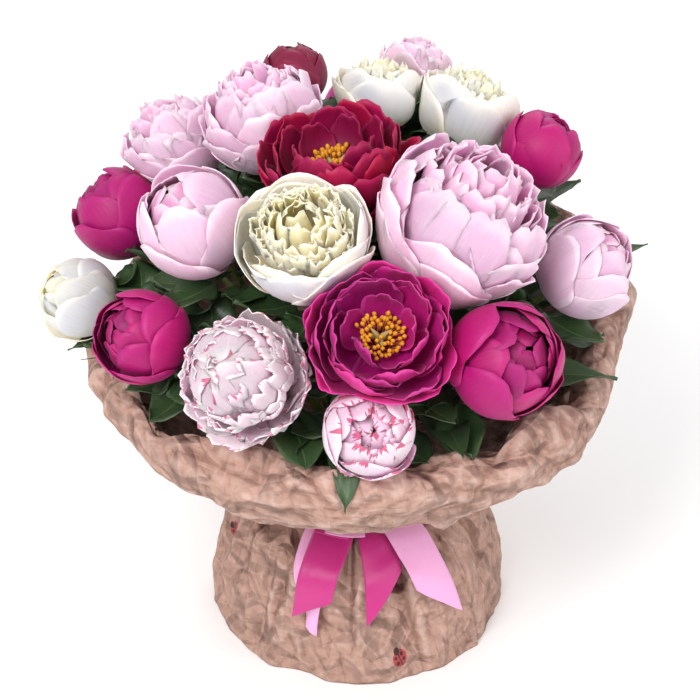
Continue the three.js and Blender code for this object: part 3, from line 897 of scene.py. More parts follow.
@dataclass
class Stamens:
    """The boss of gold stamens and the carpels in the heart of an open bloom."""

    bloom: Bloom
    count: int = 70
    height: float = 0.36  # of a filament, in bloom radii
    floor: float = 0.5  # height that they stand at, in bloom radii

    def build(self, anther: Material, filament: Material, carpel: Material) -> None:
        """Model one stamen and one carpel, copy them into the bloom and join them.

        Args:
            anther: material of the pollen sacs.
            filament: material of the threads.
            carpel: material of the carpels.
        """
        rng = np.random.default_rng(3000 + self.bloom.seed)
        one = self._one_stamen(anther, filament)
        parts = []
        base = mesh_points(one.data)
        for k in range(self.count):
            share = math.sqrt((k + 0.5) / self.count)
            azimuth = math.radians(GOLDEN_ANGLE * k)
            lean = math.radians(6 + 24 * share + rng.uniform(-11, 11))
            tall = self.height * (1.0 - 0.12 * share) * rng.uniform(0.85, 1.12)
            x, y, z = (base * np.array([1.0, 1.0, tall])).T
            x, y = turned(x, y, rng.uniform(0, TAU))
            x, z = turned(x, z, -lean)
            x, y = turned(x + 0.05 + 0.12 * share, y, azimuth)
            points = np.stack([x, y, z + self.floor], axis=1)
            parts.append(self._copy(one, self.bloom.place(points), "stamen"))
        bpy.data.objects.remove(one)
        piece = joined(f"{self.bloom.name}_stamens", parts)
        finish_piece(piece, None)
        self._build_carpels(carpel, rng)

    def _one_stamen(self, anther: Material, filament: Material) -> Piece:
        """Model one stamen a unit tall, its anther split lengthwise by a groove."""
        deselect_all()
        bpy.ops.mesh.primitive_cone_add(vertices=5, radius1=0.011, radius2=0.008, depth=0.9,
                                        location=(0.0, 0.0, 0.45))
        thread = bpy.context.object
        thread.data.materials.append(filament)
        thread.data.materials.append(anther)
        bpy.ops.mesh.primitive_uv_sphere_add(segments=8, ring_count=6, radius=1.0)
        sac = bpy.context.object
        points = mesh_points(sac.data)
        groove = 1.0 - 0.35 * np.exp(-((points[:, 1] / 0.3) ** 2)) * np.sign(np.abs(points[:, 0]))
        points = points * np.array([0.042, 0.03, 0.13]) * groove[:, None] ** np.array([1.0, 0.0, 0.0])
        points[:, 2] += 0.95
        set_mesh_points(sac.data, points)
        sac.data.materials.append(filament)
        sac.data.materials.append(anther)
        for face in sac.data.polygons:
            face.material_index = 1
        for part in (thread, sac):
            make_active(part)
            bpy.ops.object.transform_apply(location=True, rotation=True, scale=True)
        return joined("stamen_pattern", [thread, sac])

    @staticmethod
    def _copy(pattern: Piece, points: Array, name: str) -> Piece:
        """Copy a pattern with a mesh of its own and move its points."""
        piece = pattern.copy()
        piece.data = pattern.data.copy()
        piece.name = name
        set_mesh_points(piece.data, points)
        bpy.context.scene.collection.objects.link(piece)
        return piece

    def _build_carpels(self, material: Material, rng: np.random.Generator) -> None:
        """Model the three carpels that stand in the middle of the stamens."""
        deselect_all()
        bpy.ops.mesh.primitive_uv_sphere_add(segments=12, ring_count=10, radius=1.0)
        pattern = bpy.context.object
        pattern.data.materials.append(material)
        round_points = mesh_points(pattern.data)
        parts = []
        for k in range(3):
            x, y, z = round_points.T
            taper = 1.0 - 0.55 * smoothstep(-0.2, 1.0, z)
            x, y, z = 0.075 * x * taper, 0.06 * y * taper, 0.17 * z + 0.64
            x = x + 0.07 + 0.1 * smoothstep(0.72, 0.82, z)
            x, y = turned(x, y, math.radians(120.0 * k + rng.uniform(-10, 10)))
            points = np.stack([x, y, z], axis=1)
            parts.append(self._copy(pattern, self.bloom.place(points), "carpel"))
        bpy.data.objects.remove(pattern)
        finish_piece(joined(f"{self.bloom.name}_carpels", parts), "leaves")


# --------------------------------------------------
# Leaves and stems
# --------------------------------------------------
def spine_points(points: Array, rows: int) -> Array:
    """Find the middle line of a long blade.

    Args:
        points: the blade's vertices.
        rows: how many rows of vertices it has from end to end.

    Returns:
        The middle of each row, the lowest end first.
    """
    middle = points.mean(axis=0)
    way = np.linalg.svd(points - middle)[2][0]
    order = np.argsort((points - middle) @ way)
    line = np.array([row.mean(axis=0) for row in np.array_split(points[order], rows)])
    near = np.linalg.norm(line - TIE, axis=1)
    return line if near[0] < near[-1] else line[::-1]


def smooth_line(points: Array, count: int) -> Array:
    """Draw a smooth line through a few points, with even steps along it."""
    steps = np.linalg.norm(np.diff(points, axis=0), axis=1)
    at = np.concatenate([[0.0], np.cumsum(steps)]) / steps.sum()
    bends = [np.polynomial.Polynomial.fit(at, points[:, k], 3) for k in range(3)]
    share = np.linspace(0.0, 1.0, count)
    return np.stack([bend(share) for bend in bends], axis=1)


@dataclass
class Leaf:
    """One leaf, from where its stalk leaves the stem to its tip."""

    spine: Array
    width: float
    stalk_share: float = 0.24
    stalk_width: float = 2.6 * MM
    trough: float = 0.22  # rise of the blade's sides from its midrib
    bloom_gap: float = 0.8 * MM
    rim_gap: float = 1.5 * MM
    over_rim: bool = False
    seed: int = 0

    def press(self, blank: Blank, blooms: list[Bloom], wrap: "PaperWrap") -> Array:
        """Press a blank along the leaf's spine.

        Args:
            blank: the grid.
            blooms: the heads that the blade lies clear of.
            wrap: the paper that it lies over.

        Returns:
            The points.
        """
        rng = np.random.default_rng(4000 + self.seed)
        phase = rng.uniform(0, TAU, 5)
        u, v = blank.across, blank.along
        line = smooth_line(self.spine, 60)
        share = np.linspace(0.0, 1.0, 60)
        tangent = np.gradient(line, axis=0)
        tangent /= np.linalg.norm(tangent, axis=1)[:, None]
        at = np.stack([np.interp(v, share, line[:, k]) for k in range(3)], axis=1)
        way = np.stack([np.interp(v, share, tangent[:, k]) for k in range(3)], axis=1)
        side = np.cross(np.array([0.0, 0.0, 1.0]), way)
        side /= np.linalg.norm(side, axis=1)[:, None]
        up = np.cross(way, side)
        blade = np.clip((v - self.stalk_share) / (1.0 - self.stalk_share), 0.0, 1.0)
        wide = self.width * np.sin(math.pi * blade**0.78) ** 0.85
        half = np.maximum(self.stalk_width * (1.0 - 0.7 * blade), wide) / 2.0 * smoothstep(1.0, 0.93, v)
        half = np.maximum(half, 0.2 * MM)
        across = u * half
        rise = np.abs(across) * self.trough
        rise += 0.05 * self.width * np.sin(9.0 * v + phase[0]) * u * np.abs(u)
        rise += 0.06 * self.width * np.sin(15.0 * v + phase[1] + 2 * u) * u * u
        # The blade swells between its side veins.
        swell = np.abs(np.sin(math.pi * (16.0 * v - 9.0 * np.abs(u) ** 0.8)))
        rise += 0.5 * MM * swell * np.minimum(1.0, 3.0 * np.abs(u)) * (half > 4.0 * MM)
        points = at + side * across[:, None] + up * rise[:, None]
        for bloom in blooms:
            away = points - bloom.centre
            distance = np.linalg.norm(away, axis=1)
            keep = bloom.radius * 0.98 + self.bloom_gap
            inside = distance < keep
            points[inside] += away[inside] / distance[inside, None] * (keep - distance[inside, None])
        if not self.over_rim:
            return wrap.keep_inside(points)
        reach = np.hypot(*(line - AXIS_FOOT)[:, :2].T)
        crossing = share[np.argmax(reach > wrap.lip_radius)]
        return wrap.clear_of_rim(points, (v > crossing) & (crossing > 0), self.rim_gap)


@dataclass
class Foliage:
    """All leaves of the bunch: the long ones of the frame and the small ones among the blooms."""

    green: Material
    wrap: "PaperWrap"
    rows_in_frame: int = 12
    thickness: float = 0.5 * MM
    least_width: float = 30.0 * MM  # of a long leaf
    small_count: int = 7  # small leaves round each head

    def build_long_leaf(self, node: str, blank: Blank, blooms: list[Bloom], seed: int) -> None:
        """Press one of the frame's leaves.

        Args:
            node: the frame's leaf.
            blank: the grid.
            blooms: heads to stay clear of.
            seed: of the leaf's unevenness.
        """
        points = np.unique(np.round(mesh_points(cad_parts[node].data), 6), axis=0)
        spine = spine_points(points, self.rows_in_frame)
        reach = np.linalg.norm(points - spine[len(spine) * 6 // 10], axis=1)
        width = 2.0 * float(np.sort(reach)[5])
        leaf = Leaf(spine, max(width, self.least_width), over_rim=True, seed=seed)
        tone = 0.55 + 0.3 * math.sin(seed * 2.4)
        self._finish(blank.copy(f"{node}_blade", leaf.press(blank, blooms, self.wrap), tone=tone), node)

    def build_small_leaves(self, bloom: Bloom, blank: Blank, blooms: list[Bloom]) -> None:
        """Press the small leaves that stand round one head, each on its own stalk from the stem.

        Args:
            bloom: the head.
            blank: the grid.
            blooms: all heads, to stay clear of.
        """
        rng = np.random.default_rng(5000 + bloom.seed)
        down, right, facing = bloom.frame_axes.T
        parts = []
        for k in range(self.small_count):
            a = math.radians(360.0 * (k + rng.uniform(-0.25, 0.25)) / self.small_count + 47.0 * bloom.seed)
            side = down * math.cos(a) + right * math.sin(a)
            root = bloom.foot - facing * (rng.uniform(14, 30) * MM)
            out = bloom.radius * rng.uniform(0.95, 1.25) + 13 * MM
            tip = root + side * out + facing * (bloom.radius * rng.uniform(0.3, 0.75) + 9 * MM)
            bend = root + side * out * 0.75 + facing * (rng.uniform(2, 12) * MM)
            t = np.linspace(0, 1, 8)[:, None]
            spine = root * (1 - t) ** 2 + bend * 2 * t * (1 - t) + tip * t**2
            leaf = Leaf(spine, rng.uniform(28, 38) * MM, stalk_share=0.25, seed=10 * bloom.seed + k)
            points = leaf.press(blank, blooms, self.wrap)
            parts.append(blank.copy("small_leaf", points, tone=rng.uniform(0.1, 0.9)))
        self._finish(joined(f"{bloom.name}_leaves", parts))

    def _finish(self, piece: Piece, *nodes: str) -> None:
        """Give a leaf its thickness and finish."""
        thicken(piece, self.thickness, self.green)
        finish_piece(piece, "leaves", *nodes)


@dataclass
class CutStems:
    """The cut stems, rounded from the frame's plain ones."""

    finish: Material

    def build(self, flower: str, seed: int) -> None:
        """Round one stem.

        Args:
            flower: the flower's name.
            seed: sets the stem's own tone.
        """
        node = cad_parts[f"{flower}_stem"]
        piece = node.copy()
        piece.data = node.data.copy()
        piece.parent = None
        for key in list(piece.keys()):
            del piece[key]
        piece.name = f"{flower}_cut_stem"
        bpy.context.scene.collection.objects.link(piece)
        make_active(piece)
        bpy.ops.object.mode_set(mode="EDIT")
        bpy.ops.mesh.select_all(action="SELECT")
        bpy.ops.mesh.remove_doubles(threshold=0.00001)
        bpy.ops.mesh.dissolve_limited(angle_limit=math.radians(1.0))
        bpy.ops.mesh.select_all(action="SELECT")
        bpy.ops.mesh.normals_make_consistent(inside=False)
        bpy.ops.object.mode_set(mode="OBJECT")
        floor_edges = [edge.index for edge in piece.data.edges
                       if all(piece.data.vertices[v].co.z < 0.1 * MM for v in edge.vertices)]
        crease = piece.data.attributes.new("crease_edge", "FLOAT", "EDGE")
        for index in floor_edges:
            crease.data[index].value = 1.0
        apply_modifier(piece, "SUBSURF", levels=2, render_levels=2)
        tone = piece.data.attributes.new("tone", "FLOAT", "POINT")
        value = 0.35 + 0.5 * math.sin(seed) ** 2
        tone.data.foreach_set("value", np.full(len(piece.data.vertices), value, np.float32))
        piece.data.materials.clear()
        piece.data.materials.append(self.finish)
        finish_piece(piece, "stems", f"{flower}_stem")


@dataclass(frozen=True)
class StemFinish:
    """Green stem with long ribs and a blush of red."""

    green: Colour = linear(104, 128, 66)
    red: Colour = linear(136, 92, 70)

    def build(self) -> Material:
        """Make the material from long ribs, soft patches and the stem's stored tone."""
        material, graph, shader = new_material("cut_stem_green")
        place = graph.place()
        ribs = graph.noise(graph.stretch(place, (900.0, 900.0, 30.0)), 1.0, 3.0)
        blush = graph.math("MULTIPLY", graph.noise(place, 40.0, 3.0),
                           graph.math("MULTIPLY_ADD", graph.attribute("tone"), 0.6, 0.2))
        colour = graph.mix(blush, self.green, self.red)
        graph.feed(shader, {
            "Base Color": graph.shade(colour, graph.math("MULTIPLY_ADD", ribs, 0.5, 0.7)),
            "Roughness": graph.math("MULTIPLY_ADD", ribs, 0.3, 0.35),
            "Normal": graph.bump(ribs, 0.4, 0.0006)})
        return material


@dataclass(frozen=True)
class TwineFinish:
    """Twisted natural fibre."""

    light: Colour = linear(196, 168, 120)
    dark: Colour = linear(128, 98, 60)

    def build(self) -> Material:
        """Make the material from slanted fibres."""
        material, graph, shader = new_material("twisted_twine")
        slanted = graph.stretch(graph.place(), (400.0, 400.0, 1600.0), (0.6, 0.5, 0.0))
        fibres = graph.noise(slanted, 1.0, 4.0)
        graph.feed(shader, {
            "Base Color": graph.mix(fibres, self.dark, self.light),
            "Roughness": graph.math("MULTIPLY_ADD", fibres, 0.2, 0.75),
            "Normal": graph.bump(fibres, 0.8, 0.001)})
        return material


# --------------------------------------------------
# The paper wrap and the ribbons on it
# --------------------------------------------------
@dataclass(frozen=True)
class Fold:
    """One long fold in the skirt of the wrap."""

    azimuth: float  # degrees at the neck
    drift: float  # degrees that it turns by on its way down
    width: float  # degrees
    depth: float  # mm
    top: float = 0.0  # where it starts, as a share of the way from the neck to the hem
    end: float = 1.1


@dataclass
class PaperWrap:
    """One sheet of kraft paper: a skirt, a gathered neck, a collar and its rolled rim."""

    neck_radius: float = 29.3 * MM
    neck_height: float = 110.0 * MM
    skirt_radius: float = 106.0 * MM
    collar_radius: float = 178.0 * MM
    collar_rise: float = 116.0 * MM
    back_rise: float = 45.0 * MM
    back_azimuth: float = 155.0
    pleat_depth: float = 1.45 * MM
    pleats: int = 8
    thickness: float = 0.3 * MM
    seam_azimuth: float = 52.0  # where the outer end of the sheet lies
    overlap: float = 26.0  # degrees that the sheet's ends overlap by
    tie_overlap: float = 3.0 * MM  # how far the skirt and the collar each run on under the tie
    gather_depth: float = 6.5 * MM
    lump_depth: float = 2.4 * MM
    wrinkle_depth: float = 1.5 * MM
    rim_sway: float = 6.5 * MM
    leaf_room: float = 9.0 * MM  # kept free inside the collar by the small leaves
    rim_band: float = 85.0 * MM  # paper along the rim that the leaves over it keep clear of
    columns: int = 440
    skirt_rows: int = 78
    collar_rows: int = 106
    crease_count: int = 1300
    front_folds: tuple[Fold, ...] = (
        Fold(-30, -9, 9, 9), Fold(-3, 1, 6, 9, 0.0, 0.9), Fold(17, 9, 5, 9, 0.35), Fold(48, 4, 7, 6),
        Fold(-62, -6, 9, 6), Fold(8, 2, 5, 5, 0.1, 0.7), Fold(-46, 4, 6, 4, 0.3))

    def __post_init__(self) -> None:
        """Lay out the paper's outline, from the hem over the neck to the inner edge of the rim."""
        neck, height, rim = self.neck_radius, self.neck_height, self.neck_height + self.collar_rise

        def skirt(out: float, down: float) -> tuple[float, float]:
            """Place a point between the neck and the hem."""
            return neck + (self.skirt_radius - neck) * out, height * (1.0 - down)

        def collar(out: float, up: float) -> tuple[float, float]:
            """Place a point between the neck and the rim."""
            return neck + (self.collar_radius - neck) * out, height + self.collar_rise * up

        self.outline = np.array([
            skirt(1, 1), skirt(0.95, 0.73), skirt(0.86, 0.49), skirt(0.71, 0.27), skirt(0.45, 0.155),
            (neck + 13 * MM, height - 12 * MM), (neck + 1 * MM, height - 6 * MM), (neck, height),
            (neck + 1 * MM, height + 6 * MM), (neck + 12 * MM, height + 12 * MM), collar(0.235, 0.165),
            collar(0.475, 0.285), collar(0.69, 0.457), collar(0.866, 0.62), collar(0.966, 0.776),
            collar(1, 0.905), (self.collar_radius - 4 * MM, rim),
            (self.collar_radius - 15 * MM, rim + 2 * MM),
            (self.collar_radius - 25 * MM, rim - 4 * MM), (self.collar_radius - 29 * MM, rim - 14 * MM)])
        steps = np.linalg.norm(np.diff(self.outline, axis=0), axis=1)
        self.at = np.concatenate([[0.0], np.cumsum(steps)])
        self.length = float(self.at[-1])
        self.neck_at = float(self.at[7])
        self.rim_at = float(self.at[16])
        self.lip_radius = float(self.outline[-1][0])

    def _line(self, along: Array) -> tuple[Array, Array]:
        """Follow the outline smoothly through its points."""
        tangents = np.gradient(self.outline, self.at, axis=0)
        along = np.clip(along, 0.0, self.length - 1e-9)
        k = np.clip(np.searchsorted(self.at, along, side="right") - 1, 0, len(self.at) - 2)
        width = self.at[k + 1] - self.at[k]
        t = ((along - self.at[k]) / width)[..., None]
        width = width[..., None]
        p0, p1, m0, m1 = self.outline[k], self.outline[k + 1], tangents[k] * width, tangents[k + 1] * width
        line = ((2 * t**3 - 3 * t**2 + 1) * p0 + (t**3 - 2 * t**2 + t) * m0
                + (-2 * t**3 + 3 * t**2) * p1 + (t**3 - t**2) * m1)
        return line[..., 0], line[..., 1]

    def smooth_surface(self, azimuth: Array, along: Array) -> Array:
        """Find points on the pleated paper before it is creased.

        Args:
            azimuth: radians from the front.
            along: distance from the hem along the sheet.

        Returns:
            The points.
        """
        radius, height = self._line(along)
        reach = smoothstep(0.0, 60.0 * MM, radius - self.neck_radius)
        wave = np.cos(self.pleats * azimuth) + np.cos((self.pleats + 3) * azimuth + 1.0) / 2.0
        radius = radius + self.pleat_depth * reach * wave
        share = np.maximum(0.0, (height - self.neck_height) / self.collar_rise)
        back = ((1.0 + np.cos(azimuth - math.radians(self.back_azimuth))) / 2.0) ** 2
        height = height + self.back_rise * back * share * np.sqrt(share)
        return round_axis(azimuth, radius, height)

    def outward(self, azimuth: Array, along: Array) -> Array:
        """Find the unit normals of the smooth paper, pointing out of its outside."""
        small = 1e-3
        along = np.clip(along, small, self.length - small)
        here = self.smooth_surface(azimuth, along)
        round_it = self.smooth_surface(azimuth + small, along) - here
        up_it = self.smooth_surface(azimuth, along - small) - here
        normal = np.cross(up_it, round_it)
        return normal / np.linalg.norm(normal, axis=-1, keepdims=True)

    def creases(self, azimuth: Array, along: Array, points: Array) -> Array:
        """Work out how far the gathers, folds and crumples push the paper out.

        Args:
            azimuth: radians from the front.
            along: distance from the hem along the sheet.
            points: places on the smooth paper.

        Returns:
            Distances along the outward normals.
        """
        away = along - self.neck_at
        at_neck = np.exp(-((away / (7.0 * MM)) ** 2))
        on_collar = smoothstep(14.0 * MM, 50.0 * MM, away)
        on_skirt = smoothstep(14.0 * MM, 50.0 * MM, -away)
        rim = smoothstep(self.rim_at - 16.0 * MM, self.rim_at + 8.0 * MM, along)
        down = np.clip(-away / self.neck_at, 0.0, 1.0)
        push = self._gathers(azimuth, away) + self._folds(azimuth, down) * on_skirt
        strength = 0.12 + 0.55 * on_skirt + on_collar + 0.5 * rim
        push += self._crumples(azimuth, along) * strength
        lumps, wrinkles = (np.array([noise.turbulence(Vector(p) * scale, 1, True) for p in points])
                           for scale in (21.0, 74.0))
        push += (lumps - 0.3) * self.lump_depth * strength
        push += (wrinkles - 0.3) * self.wrinkle_depth * (0.4 + 0.6 * strength)
        return push * (1.0 - 0.8 * at_neck)

    def _crumples(self, azimuth: Array, along: Array) -> Array:
        """Work out the crumples: straight creases of many lengths with flat paper between them.

        Args:
            azimuth: radians from the front.
            along: distance from the hem along the sheet.

        Returns:
            Distances along the outward normals.
        """
        rng = np.random.default_rng(78)
        push = np.zeros_like(azimuth)
        radius, _ = self._line(along)
        for _ in range(self.crease_count):
            start = rng.uniform(-math.pi, math.pi)
            level = rng.uniform(0.0, self.length)
            angle = rng.normal(0.0, 0.55) if level > self.neck_at else rng.normal(math.pi / 2, 0.6)
            reach = rng.uniform(8.0, 40.0) * MM
            half = reach * rng.uniform(0.22, 0.6)
            height = half * rng.uniform(0.1, 0.3) * rng.choice([-1.0, 1.0])
            across = np.arctan2(np.sin(azimuth - start), np.cos(azimuth - start)) * radius
            upwards = along - level
            run = across * math.cos(angle) + upwards * math.sin(angle)
            off = upwards * math.cos(angle) - across * math.sin(angle)
            side = 1.0 - np.minimum(np.abs(off) / half, 1.0)
            push += height * side * np.clip(1.6 * (1.0 - np.abs(run) / reach), 0.0, 1.0)
        return push

    def _gathers(self, azimuth: Array, away: Array) -> Array:
        """Work out the close gathers that run into the neck from both sides."""
        near_neck = np.exp(-np.abs(away) / (34.0 * MM)) * smoothstep(0.0, 9.0 * MM, np.abs(away))
        drift = 0.5 * np.sin(3 * azimuth + 25 * away) + 0.35 * np.sin(5 * azimuth - 17 * away + 2)
        phase = 15.0 * azimuth + 2.6 * np.sin(2 * azimuth + 1) + 1.9 * np.sin(5 * azimuth) + 2.2 * drift
        sharp = 1.0 - 2.0 * np.abs(np.sin(phase)) ** 0.7
        second = 1.0 - 2.0 * np.abs(np.sin(1.53 * phase + 2.0 * np.sin(3 * azimuth) + 1)) ** 0.8
        return self.gather_depth * near_neck * (0.65 * sharp + 0.35 * second)

    def _folds(self, azimuth: Array, down: Array) -> Array:
        """Work out the long folds that fan out down the skirt.

        Args:
            azimuth: radians from the front.
            down: share of the way from the neck to the hem.

        Returns:
            Distances along the outward normals.
        """
        rng = np.random.default_rng(77)
        rows = list(self.front_folds)
        rows += [Fold(k, rng.uniform(-9, 9), rng.uniform(5, 9), rng.uniform(3, 8), end=rng.uniform(0.7, 1.2))
                 for k in range(70, 300, 26)]
        push = np.zeros_like(azimuth)
        for fold in rows:
            line = np.radians(fold.azimuth + fold.drift * down)
            off = np.degrees(np.arctan2(np.sin(azimuth - line), np.cos(azimuth - line)))
            # One flank is steep and the other one eases out.
            flank = np.where(off > 0, fold.width * 0.45, fold.width * 1.3)
            run = smoothstep(fold.top - 0.1, fold.top + 0.15, down)
            run = run * smoothstep(fold.end, fold.end - 0.4, down)
            push -= fold.depth * MM * np.exp(-((off / flank) ** 2)) * run
        return push

    def build(self, paper: Material) -> None:
        """Press the paper below and above the tie, which hides where the two meet."""
        self._build_part("kraft_skirt", 0.0, self.neck_at + self.tie_overlap, self.skirt_rows, paper)
        points, normal, along = self._build_part(
            "kraft_collar", self.neck_at - self.tie_overlap, self.length, self.collar_rows, paper)
        top = along > self.rim_at - self.rim_band
        self.rim_points = points[top][::3]
        self.rim_normals = normal[top][::3]

    def _build_part(self, name: str, low: float, high: float, rows: int, paper: Material
                    ) -> tuple[Array, Array, Array]:
        """Press one part of the sheet, overlap its ends and give it its thickness.

        Args:
            name: the piece's name.
            low: where it starts, along the sheet from the hem.
            high: where it ends.
            rows: faces from one to the other.
            paper: its material.

        Returns:
            The part's points, their outward normals, and how far along the sheet they are.
        """
        blank = Blank(self.columns, rows)
        sweep = math.radians(360.0 + self.overlap)
        swept = sweep * (blank.across + 1.0) / 2.0
        azimuth = math.radians(self.seam_azimuth) - swept
        ragged = 2.4 * MM * np.sin(9 * azimuth + 2 * np.sin(4 * azimuth)) + 1.2 * MM * np.sin(31 * azimuth)
        along = low + blank.along * (high - low)
        along = along + ragged * smoothstep(0.93, 1.0, along / self.length)
        points = self.smooth_surface(azimuth, along)
        normal = self.outward(azimuth, along)
        # The outer end lies over the start of the sheet, and lifts a little at its edge.
        over = smoothstep(math.radians(self.overlap) * 1.4, math.radians(self.overlap) * 0.6, swept)
        away_from_neck = smoothstep(4.0 * MM, 40.0 * MM, np.abs(along - self.neck_at))
        lifted = 1.1 * MM * over * (0.4 + away_from_neck)
        lifted += 1.6 * MM * smoothstep(0.12, 0.0, swept) * away_from_neck
        rim = smoothstep(self.rim_at - 4.0 * MM, self.length, along)
        sway = np.stack([noise_line(azimuth, along, k) for k in range(3)], axis=1) * rim[:, None]
        push = self.creases(azimuth, along, points) + lifted
        points = points + normal * push[:, None] + sway * self.rim_sway
        points[:, 2] = np.maximum(points[:, 2], 0.2 * MM)
        # The hem stands on the surface.
        hem = smoothstep(14.0 * MM, 0.0, along)
        points[:, 2] = points[:, 2] * (1.0 - hem) + hem * np.maximum(along, 0.2 * MM)
        # The crease rating is what the paper's colour paints shade and highlight from.
        piece = blank.copy(name, points, crease=self._ridges(blank, push, rows))
        thicken(piece, self.thickness, paper)
        finish_piece(piece, "kraft_paper", "kraft_wrap")
        return points, normal, along

    def _ridges(self, blank: Blank, push: Array, rows: int) -> Array:
        """Rate each point from 0 at the bottom of a sharp fold over 0.5 on flat paper to 1 on a sharp ridge,
        for the paper's painted shade and painted highlight.
        """
        order = np.lexsort((np.round(blank.across, 5), np.round(blank.along, 5)))
        sheet = push[order].reshape(rows + 1, -1)
        around = np.pad(sheet, 1, mode="edge")
        height, width = sheet.shape
        mean = sum(around[i:i + height, j:j + width] for i in range(3) for j in range(3)) / 9.0
        rating = np.empty_like(push)
        rating[order] = (0.5 + np.clip((sheet - mean) / (0.5 * MM), -0.5, 0.5)).ravel()
        return rating

    def clear_of_rim(self, points: Array, outside: Array, gap: float) -> Array:
        """Lift the points that would pass through the rim to a gap over it.

        Args:
            points: of a leaf.
            outside: which of them have passed over the rim.
            gap: between the paper and the leaf.

        Returns:
            The points.
        """
        for k in np.flatnonzero(outside):
            away = points[k] - self.rim_points
            distance = np.einsum("ij,ij->i", away, away)
            near = int(np.argmin(distance))
            over = float(away[near] @ self.rim_normals[near])
            if over < gap:
                points[k] = points[k] + self.rim_normals[near] * (gap - over)
        return points

    def keep_inside(self, points: Array) -> Array:
        """Pull the points that would pass through the collar back to its inside."""
        wall = self.outline[9:17]
        out = points - AXIS_FOOT
        radius = np.hypot(out[:, 0], out[:, 1])
        limit = np.interp(out[:, 2], wall[:, 1], wall[:, 0]) - self.leaf_room
        low = out[:, 2] < self.neck_height + self.collar_rise + 6.0 * MM
        share = np.where(low & (radius > limit), limit / radius, 1.0)
        points[:, :2] = AXIS_FOOT[:2] + out[:, :2] * share[:, None]
        return points


def noise_line(azimuth: Array, along: Array, channel: int) -> Array:
    """Draw a smooth random sway round the rim for one axis."""
    points = np.stack([1.8 * np.sin(azimuth), 1.8 * np.cos(azimuth), along * 18.0 + 9.1 * channel], axis=1)
    coarse = np.array([noise.noise(Vector(p) * 2.1) for p in points])
    fine = np.array([noise.noise(Vector(p) * 6.3) for p in points])
    return coarse + 0.6 * fine


@dataclass(frozen=True)
class Tail:
    """One ribbon tail on the skirt."""

    azimuth: float  # degrees at the neck
    drift: float  # degrees that it turns by on its way down
    end: float  # where it ends, as a share of the way from the neck to the hem
    slant: float  # how much further one side runs than the other, in metres
    lift: float = 1.2 * MM  # over the paper
    flare: float = 3.0 * MM  # how much more its end lifts
    pinch: float = 0.0  # share of its width that is rolled up at its end


